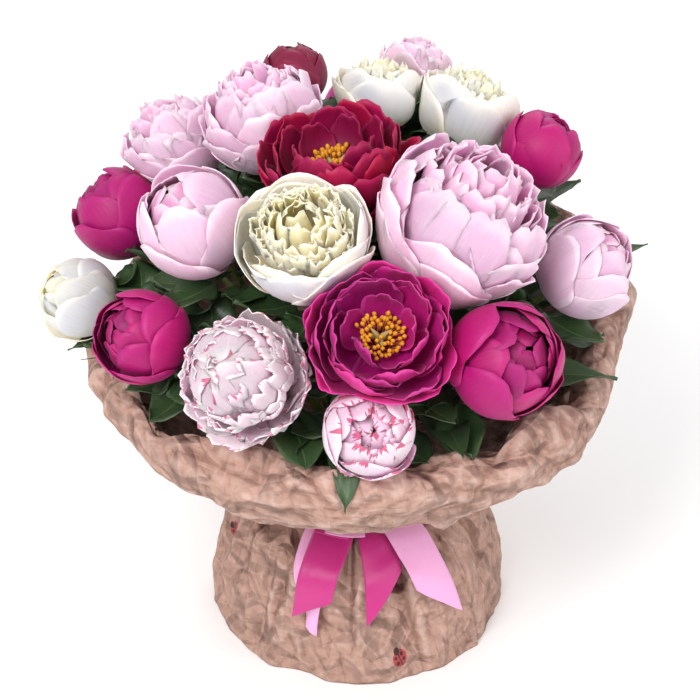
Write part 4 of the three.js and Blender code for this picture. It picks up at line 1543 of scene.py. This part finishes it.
@dataclass
class Ribbon:
    """A satin ribbon: a band round the neck, two tails over the skirt and a loop of the knot."""

    name: str
    tails: tuple[Tail, Tail]
    lift: float
    loop_azimuth: float
    wrap: PaperWrap
    width: float = 28.0 * MM
    thickness: float = 0.35 * MM
    gathered: float = 0.5  # share of its width that a tail leaves the knot with
    band_half: float = 3.4 * MM
    loop_length: float = 84.0 * MM
    cut_share: float = 0.85  # the cut ribbon's flat area, as a share of its length times its width

    def build(self, satin: Material) -> None:
        """Press the band, the tails and the loop and join them."""
        strip = Blank(14, 70)
        self._rows = strip.along
        parts = [self._band(strip), *(self._tail(strip, tail) for tail in self.tails), self._loop(strip)]
        length = TAU * (self.wrap.neck_radius + self.lift)
        length += sum(tail.end for tail in self.tails) * self.wrap.neck_at + self.loop_length
        piece = joined(f"{self.name}_satin", parts)
        thicken(piece, self.thickness, satin)
        finish_piece(piece, self.name.replace("ribbon", "satin"), self.name)

    def _band(self, strip: Blank) -> Piece:
        """Press the gathered band round the neck."""
        azimuth = strip.along * TAU
        wrap = self.wrap
        radius = wrap.neck_radius + self.lift + 0.5 * MM * np.cos(strip.across * 9.0)
        height = wrap.neck_height + strip.across * self.band_half + 0.4 * MM * np.sin(3 * azimuth)
        return strip.copy("band", round_axis(azimuth, radius, height))

    def _on_skirt(self, azimuth: Array, share: Array, lift: Array) -> Array:
        """Find points over the skirt, counted from the neck (0) to the hem (1)."""
        along = self.wrap.neck_at * (1.0 - np.clip(share, 0.0, 1.2))
        surface = self.wrap.smooth_surface(azimuth, along)
        bumps = self.wrap.creases(azimuth, along, surface)
        rows = np.round(self._rows, 4)
        names, row_of = np.unique(rows, return_inverse=True)
        highest = np.array([bumps[row_of == k].max() for k in range(len(names))])
        eased = np.convolve(np.pad(highest, 4, mode="edge"), np.full(9, 1 / 9), mode="valid")
        proud = np.maximum(eased[row_of], bumps)
        return surface + self.wrap.outward(azimuth, along) * (lift + proud)[:, None]

    def _skirt_radius(self, share: Array) -> Array:
        """Find the skirt's radius, counted from the neck (0) to the hem (1)."""
        wrap = self.wrap
        return np.interp(1.0 - share, wrap.at[:8] / wrap.neck_at, wrap.outline[:8, 0])

    def _tail(self, strip: Blank, tail: Tail) -> Piece:
        """Press one tail.

        Args:
            strip: the grid.
            tail: its place.

        Returns:
            The tail.
        """
        v, u = strip.along, strip.across
        opening = self.gathered + (1.0 - self.gathered) * smoothstep(0.0, 0.42, v)
        opening = opening * (1.0 - tail.pinch * smoothstep(0.55, 0.95, v))
        slant = tail.slant * u / 2.0 * v**3 / self.wrap.neck_at
        share = tail.end * v + slant
        middle = np.radians(tail.azimuth + tail.drift * v)
        azimuth = middle + u * opening * self.width / 2.0 / self._skirt_radius(share)
        folds = (1.0 - smoothstep(0.0, 0.45, v)) * 1.1 * MM * np.cos(u * 8.0 + 1.0)
        arch = 1.3 * MM * (1.0 - u * u) + 0.8 * MM * np.sin(5.0 * v + 1.5 * u + tail.azimuth)
        arch = arch * smoothstep(0, 0.3, v)
        lift = self.lift * (1.0 - v) + tail.lift * v + folds + arch + tail.flare * v**3
        return strip.copy("tail", self._on_skirt(azimuth, share, lift))

    def _loop(self, strip: Blank) -> Piece:
        """Press the loop of the knot, which hangs from the neck and turns back under itself."""
        v, u = strip.along, strip.across
        reach = 0.5 * self.loop_length * np.sin(math.pi * v) ** 0.8
        share = 0.02 + reach / self.wrap.neck_at
        pinch = 0.35 + 0.65 * np.sin(math.pi * v) ** 0.7
        azimuth = math.radians(self.loop_azimuth) + u * pinch * self.width * 0.42 / self._skirt_radius(share)
        lift = self.lift + 3.0 * MM + 5.0 * MM * (1.0 - np.cos(TAU * v)) / 2.0 + 6.0 * MM * v
        return strip.copy("loop", self._on_skirt(azimuth, share, lift))


@dataclass(frozen=True)
class Print:
    """One small ladybird printed on the paper."""

    azimuth: float  # degrees
    along: float  # share of the way from the hem to the inner edge of the rim
    turn: float  # degrees


def make_ladybird_group() -> bpy.types.NodeTree:
    """Build the group that masks a round spotted beetle seen from above.

    Returns:
        The group. It takes a place on the paper and puts out the wing cases and the dark parts.
    """
    graph, entry, leave = shader_group(
        "ladybird_print", {"Place": None, "Centre": None, "Right": None, "Up": None, "Size": 0.0065},
        ("Red", "Black"))
    away = graph.node("ShaderNodeVectorMath", {0: entry["Place"], 1: entry["Centre"]},
                      operation="SUBTRACT").outputs[0]

    def coordinate(name: str) -> Socket:
        """Measure along one direction of the print, in sizes."""
        dot = graph.node("ShaderNodeVectorMath", {0: away, 1: entry[name]}, operation="DOT_PRODUCT")
        return graph.math("DIVIDE", dot.outputs["Value"], entry["Size"])

    def disc(x: Socket, y: Socket, at: tuple[float, float], radius: float, squash: float = 1.0) -> Socket:
        """Mask a disc or an oval."""
        dx = graph.math("DIVIDE", graph.math("SUBTRACT", x, at[0]), squash)
        dy = graph.math("SUBTRACT", y, at[1])
        square = graph.math("MULTIPLY_ADD", dx, dx, graph.math("MULTIPLY", dy, dy))
        return graph.math("LESS_THAN", square, radius * radius)

    x, y = coordinate("Right"), coordinate("Up")
    side = graph.math("ABSOLUTE", x)
    distance = graph.node("ShaderNodeVectorMath", {0: away}, operation="LENGTH").outputs["Value"]
    close = graph.math("LESS_THAN", distance, graph.math("MULTIPLY", entry["Size"], 2.0))
    body = disc(x, y, (0.0, 0.0), 1.0, 0.85)
    # Two spots and a shoulder patch on each wing case, and the line where the cases meet.
    dark = graph.math("LESS_THAN", side, 0.06)
    for at, radius in (((0.42, 0.32), 0.2), ((0.4, -0.38), 0.2), ((0.0, 0.78), 0.3)):
        dark = graph.math("MAXIMUM", dark, disc(side, y, at, radius))
    head = disc(x, y, (0.0, 0.98), 0.34)
    dark = graph.math("MAXIMUM", graph.math("MULTIPLY", dark, body), head)
    red = graph.math("MULTIPLY", body, graph.math("SUBTRACT", 1.0, dark))
    for name, mask in (("Red", red), ("Black", dark)):
        graph.feed(leave, {name: graph.math("MULTIPLY", mask, close)})
    return graph.tree


@dataclass(frozen=True)
class PaperFinish:
    """Crumpled uncoated kraft paper with a few printed ladybirds."""

    wrap: PaperWrap
    prints: tuple[Print, ...] = (
        Print(17, 0.045, 20), Print(-84, 0.16, 100), Print(36, 0.35, -30), Print(92, 0.84, 70),
        Print(-62, 0.66, 160), Print(150, 0.1, 0), Print(205, 0.27, -120), Print(128, 0.7, 40),
        Print(236, 0.82, 15))
    red: Colour = linear(186, 62, 72)
    black: Colour = linear(44, 34, 38)
    body: Colour = linear(193, 156, 142)
    dark: Colour = linear(168, 130, 114)
    # The pale colour of the fibres and of the crease lines, also used for the painted highlight on the
    # ridges of the creases.
    light: Colour = linear(216, 186, 174)
    # Painted shade in the hollows of the creases.
    crease_hollow_shade: Colour = linear(122, 82, 68)
    crease_steepness: float = 0.44

    def build(self) -> Material:
        """Make the material from fibres, specks, lighter crease lines, painted shade in the hollows of the
        creases and painted highlight on their ridges.
        """
        material, graph, shader = new_material("crumpled_kraft")
        place = graph.place()
        fibre = graph.noise(place, 420.0, 5.0, 0.7)
        colour = graph.mix(graph.noise(place, 22.0, 6.0, 0.6), self.dark, self.body)
        crease = graph.attribute("crease")
        large, large_lines = self._facets(graph, place, 62.0, 5)
        small, small_lines = self._facets(graph, place, 150.0, 6)
        lines = graph.math("MAXIMUM", large_lines, small_lines)
        # The crease rating paints shade into the hollows and highlight onto the ridges; the shader's crease
        # lines are drawn lighter; the fibres add their own dark and pale specks.
        for mask, tint in (
                (graph.ramp(crease, [(0.0, 0.55), (0.4, 0.0)]), self.crease_hollow_shade),
                (graph.ramp(crease, [(0.6, 0.0), (1.0, 0.5)]), self.light),
                (graph.math("MULTIPLY", lines, 0.16), self.light),
                (graph.math("MULTIPLY", graph.ramp(fibre, [(0.3, 1.0), (0.42, 0.0)]), 0.4), self.dark),
                (graph.math("MULTIPLY", graph.ramp(fibre, [(0.6, 0.0), (0.75, 1.0)]), 0.4), self.light)):
            colour = graph.mix(mask, colour, tint)
        folded = graph.bump(graph.math("MULTIPLY_ADD", small, 0.8, large), 1.0, 1.0)
        graph.feed(shader, {
            "Base Color": self._printed(graph, place, colour),
            "Roughness": 0.8,
            "Specular IOR Level": 0.3,
            "Normal": graph.bump(fibre, 0.3, 0.0008, Normal=folded)})
        return material

    def _printed(self, graph: Graph, place: Socket, colour: Socket) -> Socket:
        """Print the ladybirds over the paper's colour."""
        group = make_ladybird_group()
        for one in self.prints:
            azimuth = np.array([math.radians(one.azimuth)])
            along = np.array([one.along * self.wrap.length])
            centre = self.wrap.smooth_surface(azimuth, along)[0]
            out = self.wrap.outward(azimuth, along)[0]
            level = unit(np.cross(np.array([0.0, 0.0, 1.0]), out))
            right, ahead = turned(level, np.cross(out, level), -math.radians(one.turn))
            mark = graph.node("ShaderNodeGroup", {"Place": place}, node_tree=group)
            for name, value in (("Centre", centre), ("Right", right), ("Up", ahead)):
                mark.inputs[name].default_value = tuple(float(x) for x in value)
            colour = graph.mix(graph.math("MULTIPLY", mark.outputs["Red"], 0.9), colour, self.red)
            colour = graph.mix(graph.math("MULTIPLY", mark.outputs["Black"], 0.9), colour, self.black)
        return colour

    def _facets(self, graph: Graph, place: Socket, scale: float, seed: int) -> tuple[Socket, Socket]:
        """Fold the sheet along straight creases in several directions, with flat facets between them.

        Args:
            graph: of the material.
            place: where the point lies.
            scale: creases in a metre, in each direction.
            seed: sets the directions.

        Returns:
            The height in metres, and a mask of the creases.
        """
        rng = np.random.default_rng(seed)
        height, creases = 0.0, 0.0
        for _ in range(6):
            way = tuple(float(x) for x in unit(rng.normal(size=3)) * scale)
            shift = tuple(float(x) for x in rng.uniform(-3.0, 3.0, 3))
            along = graph.node("ShaderNodeVectorMath", {0: place, 1: way}, operation="DOT_PRODUCT")
            moved = graph.node("ShaderNodeVectorMath", {0: place, 1: shift}, operation="ADD").outputs[0]
            cloud = graph.node("ShaderNodeTexNoise", {"Vector": moved, "Scale": 0.3 * scale, "Detail": 0.0})
            parts = graph.split(cloud.outputs["Color"])
            swayed = graph.math("MULTIPLY_ADD", parts[1], 2.4, along.outputs["Value"])
            folded = graph.math("PINGPONG", swayed, 1.0)
            patch = graph.ramp(parts[0], [(0.42, 0.0), (0.6, 1.0)])
            height = graph.math("MULTIPLY_ADD", graph.math("MULTIPLY", folded, patch),
                                self.crease_steepness / scale, height)
            line = graph.ramp(folded, [(0.0, 1.0), (0.06, 0.0), (0.94, 0.0), (1.0, 1.0)])
            creases = graph.math("MAXIMUM", creases, graph.math("MULTIPLY", line, patch))
        return height, creases


@dataclass(frozen=True)
class SatinFinish:
    """Woven satin ribbon with a bright edge cord."""

    name: str
    body: Colour
    shine: Colour

    def build(self) -> Material:
        """Make the material from the ribbon's own map."""
        material, graph, shader = new_material(self.name)
        position = graph.own_map()
        parts = graph.split(position)
        threads = graph.noise(graph.stretch(position, (260.0, 14.0, 1.0)), 1.0, 2.0)
        picks = graph.math("SINE", graph.math("MULTIPLY", parts[1], 900.0))
        side = graph.math("ABSOLUTE", graph.math("SUBTRACT", parts[0], 0.5))
        selvedge = graph.ramp(side, [(0.465, 0.0), (0.48, 1.0)])
        raised = graph.math("MULTIPLY_ADD", selvedge, 0.8, threads)
        graph.feed(shader, {
            "Base Color": graph.mix(threads, self.body, self.shine),
            "Roughness": graph.math("MULTIPLY_ADD", selvedge, 0.2,
                                    graph.math("MULTIPLY_ADD", threads, 0.12, 0.26)),
            "Anisotropic": 0.5,
            "Sheen Weight": 0.35,
            "Normal": graph.bump(graph.math("MULTIPLY_ADD", picks, 0.12, raised), 0.25, 0.0005)})
        return material


@dataclass(frozen=True)
class GoldFinish:
    """Powdery pollen sacs, or smooth threads."""

    name: str
    light: Colour
    dark: Colour
    roughness: float = 0.7

    def build(self) -> Material:
        """Make the material with grains over its surface."""
        material, graph, shader = new_material(self.name)
        place = graph.place()
        grains = graph.noise(place, 1500.0, 2.0)
        mixed = graph.math("MULTIPLY_ADD", grains, 0.4,
                           graph.math("MULTIPLY", graph.noise(place, 160.0, 2.0), 0.8))
        graph.feed(shader, {
            "Base Color": graph.mix(mixed, self.dark, self.light),
            "Roughness": graph.math("MULTIPLY_ADD", grains, 0.2, self.roughness),
            "Normal": graph.bump(grains, 0.6, 0.0005)})
        return material


# --------------------------------------------------
# The studio
# --------------------------------------------------
@dataclass
class Studio:
    """A pale floor, soft lights and the camera."""

    distance: float = 1.3
    aim_height: float = 0.2
    lens: float = 98.3
    sensor: float = 36.0
    shift: tuple[float, float] = (-0.0086, 0.0143)
    floor_size: float = 6.0
    room_light: float = 0.72
    lamps: tuple[tuple[str, Colour, float, float], ...] = (  # name, place, size and power
        ("key", (-0.7, -1.2, 1.6), 0.8, 25.0),
        ("fill", (1.15, -0.9, 0.9), 1.1, 8.0),
        ("rear", (0.2, 1.3, 1.3), 1.0, 8.0))

    def build(self) -> None:
        """Set up the floor, the lights, the world and the camera."""
        self.aim = Vector((float(AXIS[0]), float(AXIS[1]), self.aim_height))
        self._floor()
        self._lights()
        self._camera()
        bpy.context.scene.view_settings.view_transform = "Standard"

    def _floor(self) -> None:
        """Lay a plain pale floor."""
        deselect_all()
        bpy.ops.mesh.primitive_plane_add(size=self.floor_size)
        floor = bpy.context.object
        floor.name = "studio_floor"
        material, graph, shader = new_material("pale_floor")
        graph.feed(shader, {"Base Color": (0.93, 0.93, 0.93, 1.0), "Roughness": 0.9,
                            "Specular IOR Level": 0.1})
        floor.data.materials.append(material)

    def _lights(self) -> None:
        """Hang a large soft light in front and above, weaker ones beside and behind, and light the room."""
        world = bpy.data.worlds.new("pale_room")
        world.use_nodes = True
        background = world.node_tree.nodes["Background"]
        background.inputs["Color"].default_value = (1.0, 1.0, 1.0, 1.0)
        background.inputs["Strength"].default_value = self.room_light
        bpy.context.scene.world = world
        for name, place, size, power in self.lamps:
            deselect_all()
            bpy.ops.object.light_add(type="AREA", location=place)
            light = bpy.context.object
            light.name = f"{name}_light"
            light.data.shape = "SQUARE"
            light.data.size = size
            light.data.energy = power
            light.rotation_euler = (self.aim - Vector(place)).to_track_quat("-Z", "Y").to_euler()

    def _camera(self) -> None:
        """Place the camera in front and above, looking at the middle of the bunch."""
        elevation = math.radians(VIEW_ELEVATION)
        back = Vector((0.0, -math.cos(elevation), math.sin(elevation)))
        deselect_all()
        bpy.ops.object.camera_add(location=self.aim + back * self.distance)
        camera = bpy.context.object
        camera.name = "studio_camera"
        camera.rotation_euler = (-back).to_track_quat("-Z", "Y").to_euler()
        camera.data.lens = self.lens
        camera.data.sensor_width = self.sensor
        camera.data.shift_x, camera.data.shift_y = self.shift
        bpy.context.scene.camera = camera


# --------------------------------------------------
# The bunch
# --------------------------------------------------
def flower_list() -> list[Bloom]:
    """List the heads of the bunch with their forms, finishes, sizes and loose petals."""
    rows = [
        Bloom("crimson_open", Form.BOWL, "crimson", 92 * MM),
        Bloom("white_cup", Form.CUP, "white", 80 * MM),
        Bloom("big_pink", Form.DOUBLE, "blush", 104 * MM,
              (LoosePetal(262), LoosePetal(292), LoosePetal(326)), tip=(14, 8)),
        Bloom("magenta_open", Form.BOWL, "magenta", 86 * MM, (LoosePetal(318, length=1.45, lean=70),)),
        Bloom("pink_left", Form.BUD, "blush", 70 * MM, (LoosePetal(285), LoosePetal(70, lean=120))),
        Bloom("pale_ruffled", Form.RUFFLED, "pale", 82 * MM),
        Bloom("pink_top_left", Form.DOUBLE, "blush", 75 * MM, (LoosePetal(280),)),
        Bloom("pink_back_left", Form.DOUBLE, "blush", 66 * MM, (LoosePetal(250),)),
        Bloom("magenta_left", Form.BUD, "plum", 62 * MM),
        Bloom("white_left", Form.BUD, "white", 54 * MM),
        Bloom("magenta_low_left", Form.BUD, "plum", 58 * MM),
        Bloom("streaked_front", Form.BUD, "streaked", 55 * MM, (LoosePetal(300),)),
        Bloom("magenta_right", Form.BUD, "plum", 70 * MM, (LoosePetal(70), LoosePetal(20, curl=-70))),
        Bloom("pink_right", Form.BUD, "blush", 64 * MM, (LoosePetal(60), LoosePetal(130, lean=120))),
        Bloom("magenta_top_right", Form.BUD, "plum", 52 * MM),
        Bloom("white_top_right", Form.CUP, "white", 70 * MM),
        Bloom("white_top", Form.CUP, "white", 60 * MM),
        Bloom("maroon_back", Form.BUD, "maroon", 44 * MM),
        Bloom("pink_back", Form.DOUBLE, "blush", 50 * MM),
        Bloom("rear_left", Form.BUD, "pale", 64 * MM),
        Bloom("rear_middle", Form.BUD, "magenta", 68 * MM, (LoosePetal(60),)),
        Bloom("rear_right", Form.BUD, "blush", 62 * MM, (LoosePetal(300),)),
        Bloom("rear_far_left", Form.BUD, "crimson", 54 * MM),
    ]
    for seed, bloom in enumerate(rows):
        bloom.seed = seed
        bloom.roll = 31.0 * seed
        bloom.neighbours = [
            other for other in rows if other is not bloom
            and np.linalg.norm(other.centre - bloom.centre) < bloom.diameter + other.diameter]
    return rows


def petal_finishes() -> dict[str, PetalFinish]:
    """List the finishes of the petals by colour."""
    return {
        "crimson": PetalFinish(
            "crimson_petal", linear(166, 2, 66), linear(112, 0, 52), linear(200, 30, 92), sheen=0.05,
            glow=0.1, glow_radius=(0.4, 0.2, 0.4)),
        "magenta": PetalFinish(
            "magenta_petal", linear(206, 26, 136), linear(150, 10, 98), linear(226, 92, 174), sheen=0.08,
            glow=0.15, glow_radius=(0.6, 0.25, 0.5)),
        "plum": PetalFinish(
            "plum_petal", linear(174, 10, 106), linear(122, 4, 74), linear(200, 50, 138), sheen=0.06,
            glow=0.12, glow_radius=(0.5, 0.2, 0.4)),
        "maroon": PetalFinish(
            "maroon_petal", linear(118, 8, 54), linear(80, 4, 40), linear(150, 30, 78), sheen=0.05,
            glow=0.1, glow_radius=(0.4, 0.2, 0.3)),
        "blush": PetalFinish(
            "blush_petal", linear(241, 194, 222), linear(228, 130, 182), linear(250, 228, 240),
            edge_strength=0.6, glow=0.5, glow_radius=(1.0, 0.5, 0.7)),
        "pale": PetalFinish(
            "pale_petal", linear(252, 226, 238), linear(240, 172, 204), linear(255, 246, 250),
            streak=linear(186, 26, 88), streak_amount=0.36, edge_strength=0.6, glow=0.8,
            glow_radius=(1.0, 0.75, 0.9)),
        "streaked": PetalFinish(
            "streaked_petal", linear(246, 208, 230), linear(240, 178, 212), linear(252, 234, 243),
            streak=linear(186, 20, 84), streak_amount=0.6, glow=0.5, glow_radius=(1.0, 0.5, 0.7)),
        "white": PetalFinish(
            "white_petal", linear(255, 247, 228), linear(254, 228, 128), linear(255, 251, 238),
            glow=0.8, glow_radius=(1.0, 0.85, 0.55)),
    }


def build_bunch() -> None:
    """Build every piece of the bunch in order."""
    finishes = {name: finish.build() for name, finish in petal_finishes().items()}
    green = GreenFinish("waxy_leaf", linear(58, 84, 46), linear(96, 122, 72), linear(38, 60, 36)).build()
    sepal = GreenFinish("sepal_green", linear(116, 138, 70), linear(146, 164, 96),
                        linear(96, 112, 62)).build()
    gold = GoldFinish("gold_anther", linear(240, 178, 40), linear(196, 110, 16)).build()
    thread = GoldFinish("stamen_thread", linear(226, 150, 60), linear(190, 70, 70), 0.5).build()
    carpel = GoldFinish("carpel_green", linear(178, 190, 110), linear(190, 110, 110), 0.5).build()
    blooms = flower_list()
    blanks = {True: Blank(12, 14), False: Blank(8, 9)}
    for bloom in blooms:
        bloom.build_petals(blanks, finishes)
        bloom.build_sepals(blanks[False], sepal)
        if bloom.form is Form.BOWL:
            Stamens(bloom).build(gold, thread, carpel)

    wrap = PaperWrap()
    wrap.build(PaperFinish(wrap).build())
    foliage = Foliage(green, wrap)
    leaf_blank = Blank(12, 44)
    small_blank = Blank(8, 26)
    leaves = sorted(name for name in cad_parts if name.startswith("leaf_"))
    for seed, node in enumerate(leaves):
        foliage.build_long_leaf(node, leaf_blank, blooms, seed)
    for bloom in blooms:
        foliage.build_small_leaves(bloom, small_blank, blooms)

    stems = CutStems(StemFinish().build())
    for bloom in blooms:
        stems.build(bloom.name, bloom.seed)
    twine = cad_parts["binding_twine"]
    twine.data.materials[0] = TwineFinish().build()

    magenta = SatinFinish("magenta_satin_weave", linear(182, 18, 108), linear(208, 48, 142)).build()
    pink = SatinFinish("pink_satin_weave", linear(238, 152, 212), linear(248, 190, 228)).build()
    magenta_tails = (Tail(-12, -6, 0.62, -0.018, 4.5 * MM), Tail(16, -4, 0.56, -0.034))
    pink_tails = (Tail(-22, 3, 0.76, 0.006, 1.0 * MM, 1.0 * MM, 0.7), Tail(26, 8, 0.62, 0.026, 5.0 * MM))
    Ribbon("magenta_ribbon", magenta_tails, 2.4 * MM, -14, wrap).build(magenta)
    Ribbon("pink_ribbon", pink_tails, 4.4 * MM, -6, wrap).build(pink)


def main() -> None:
    """Build the studio and the bunch."""
    logging.basicConfig(level=logging.INFO, format="%(name)s: %(message)s")
    Studio().build()
    build_bunch()


if __name__ == "__main__":
    main()
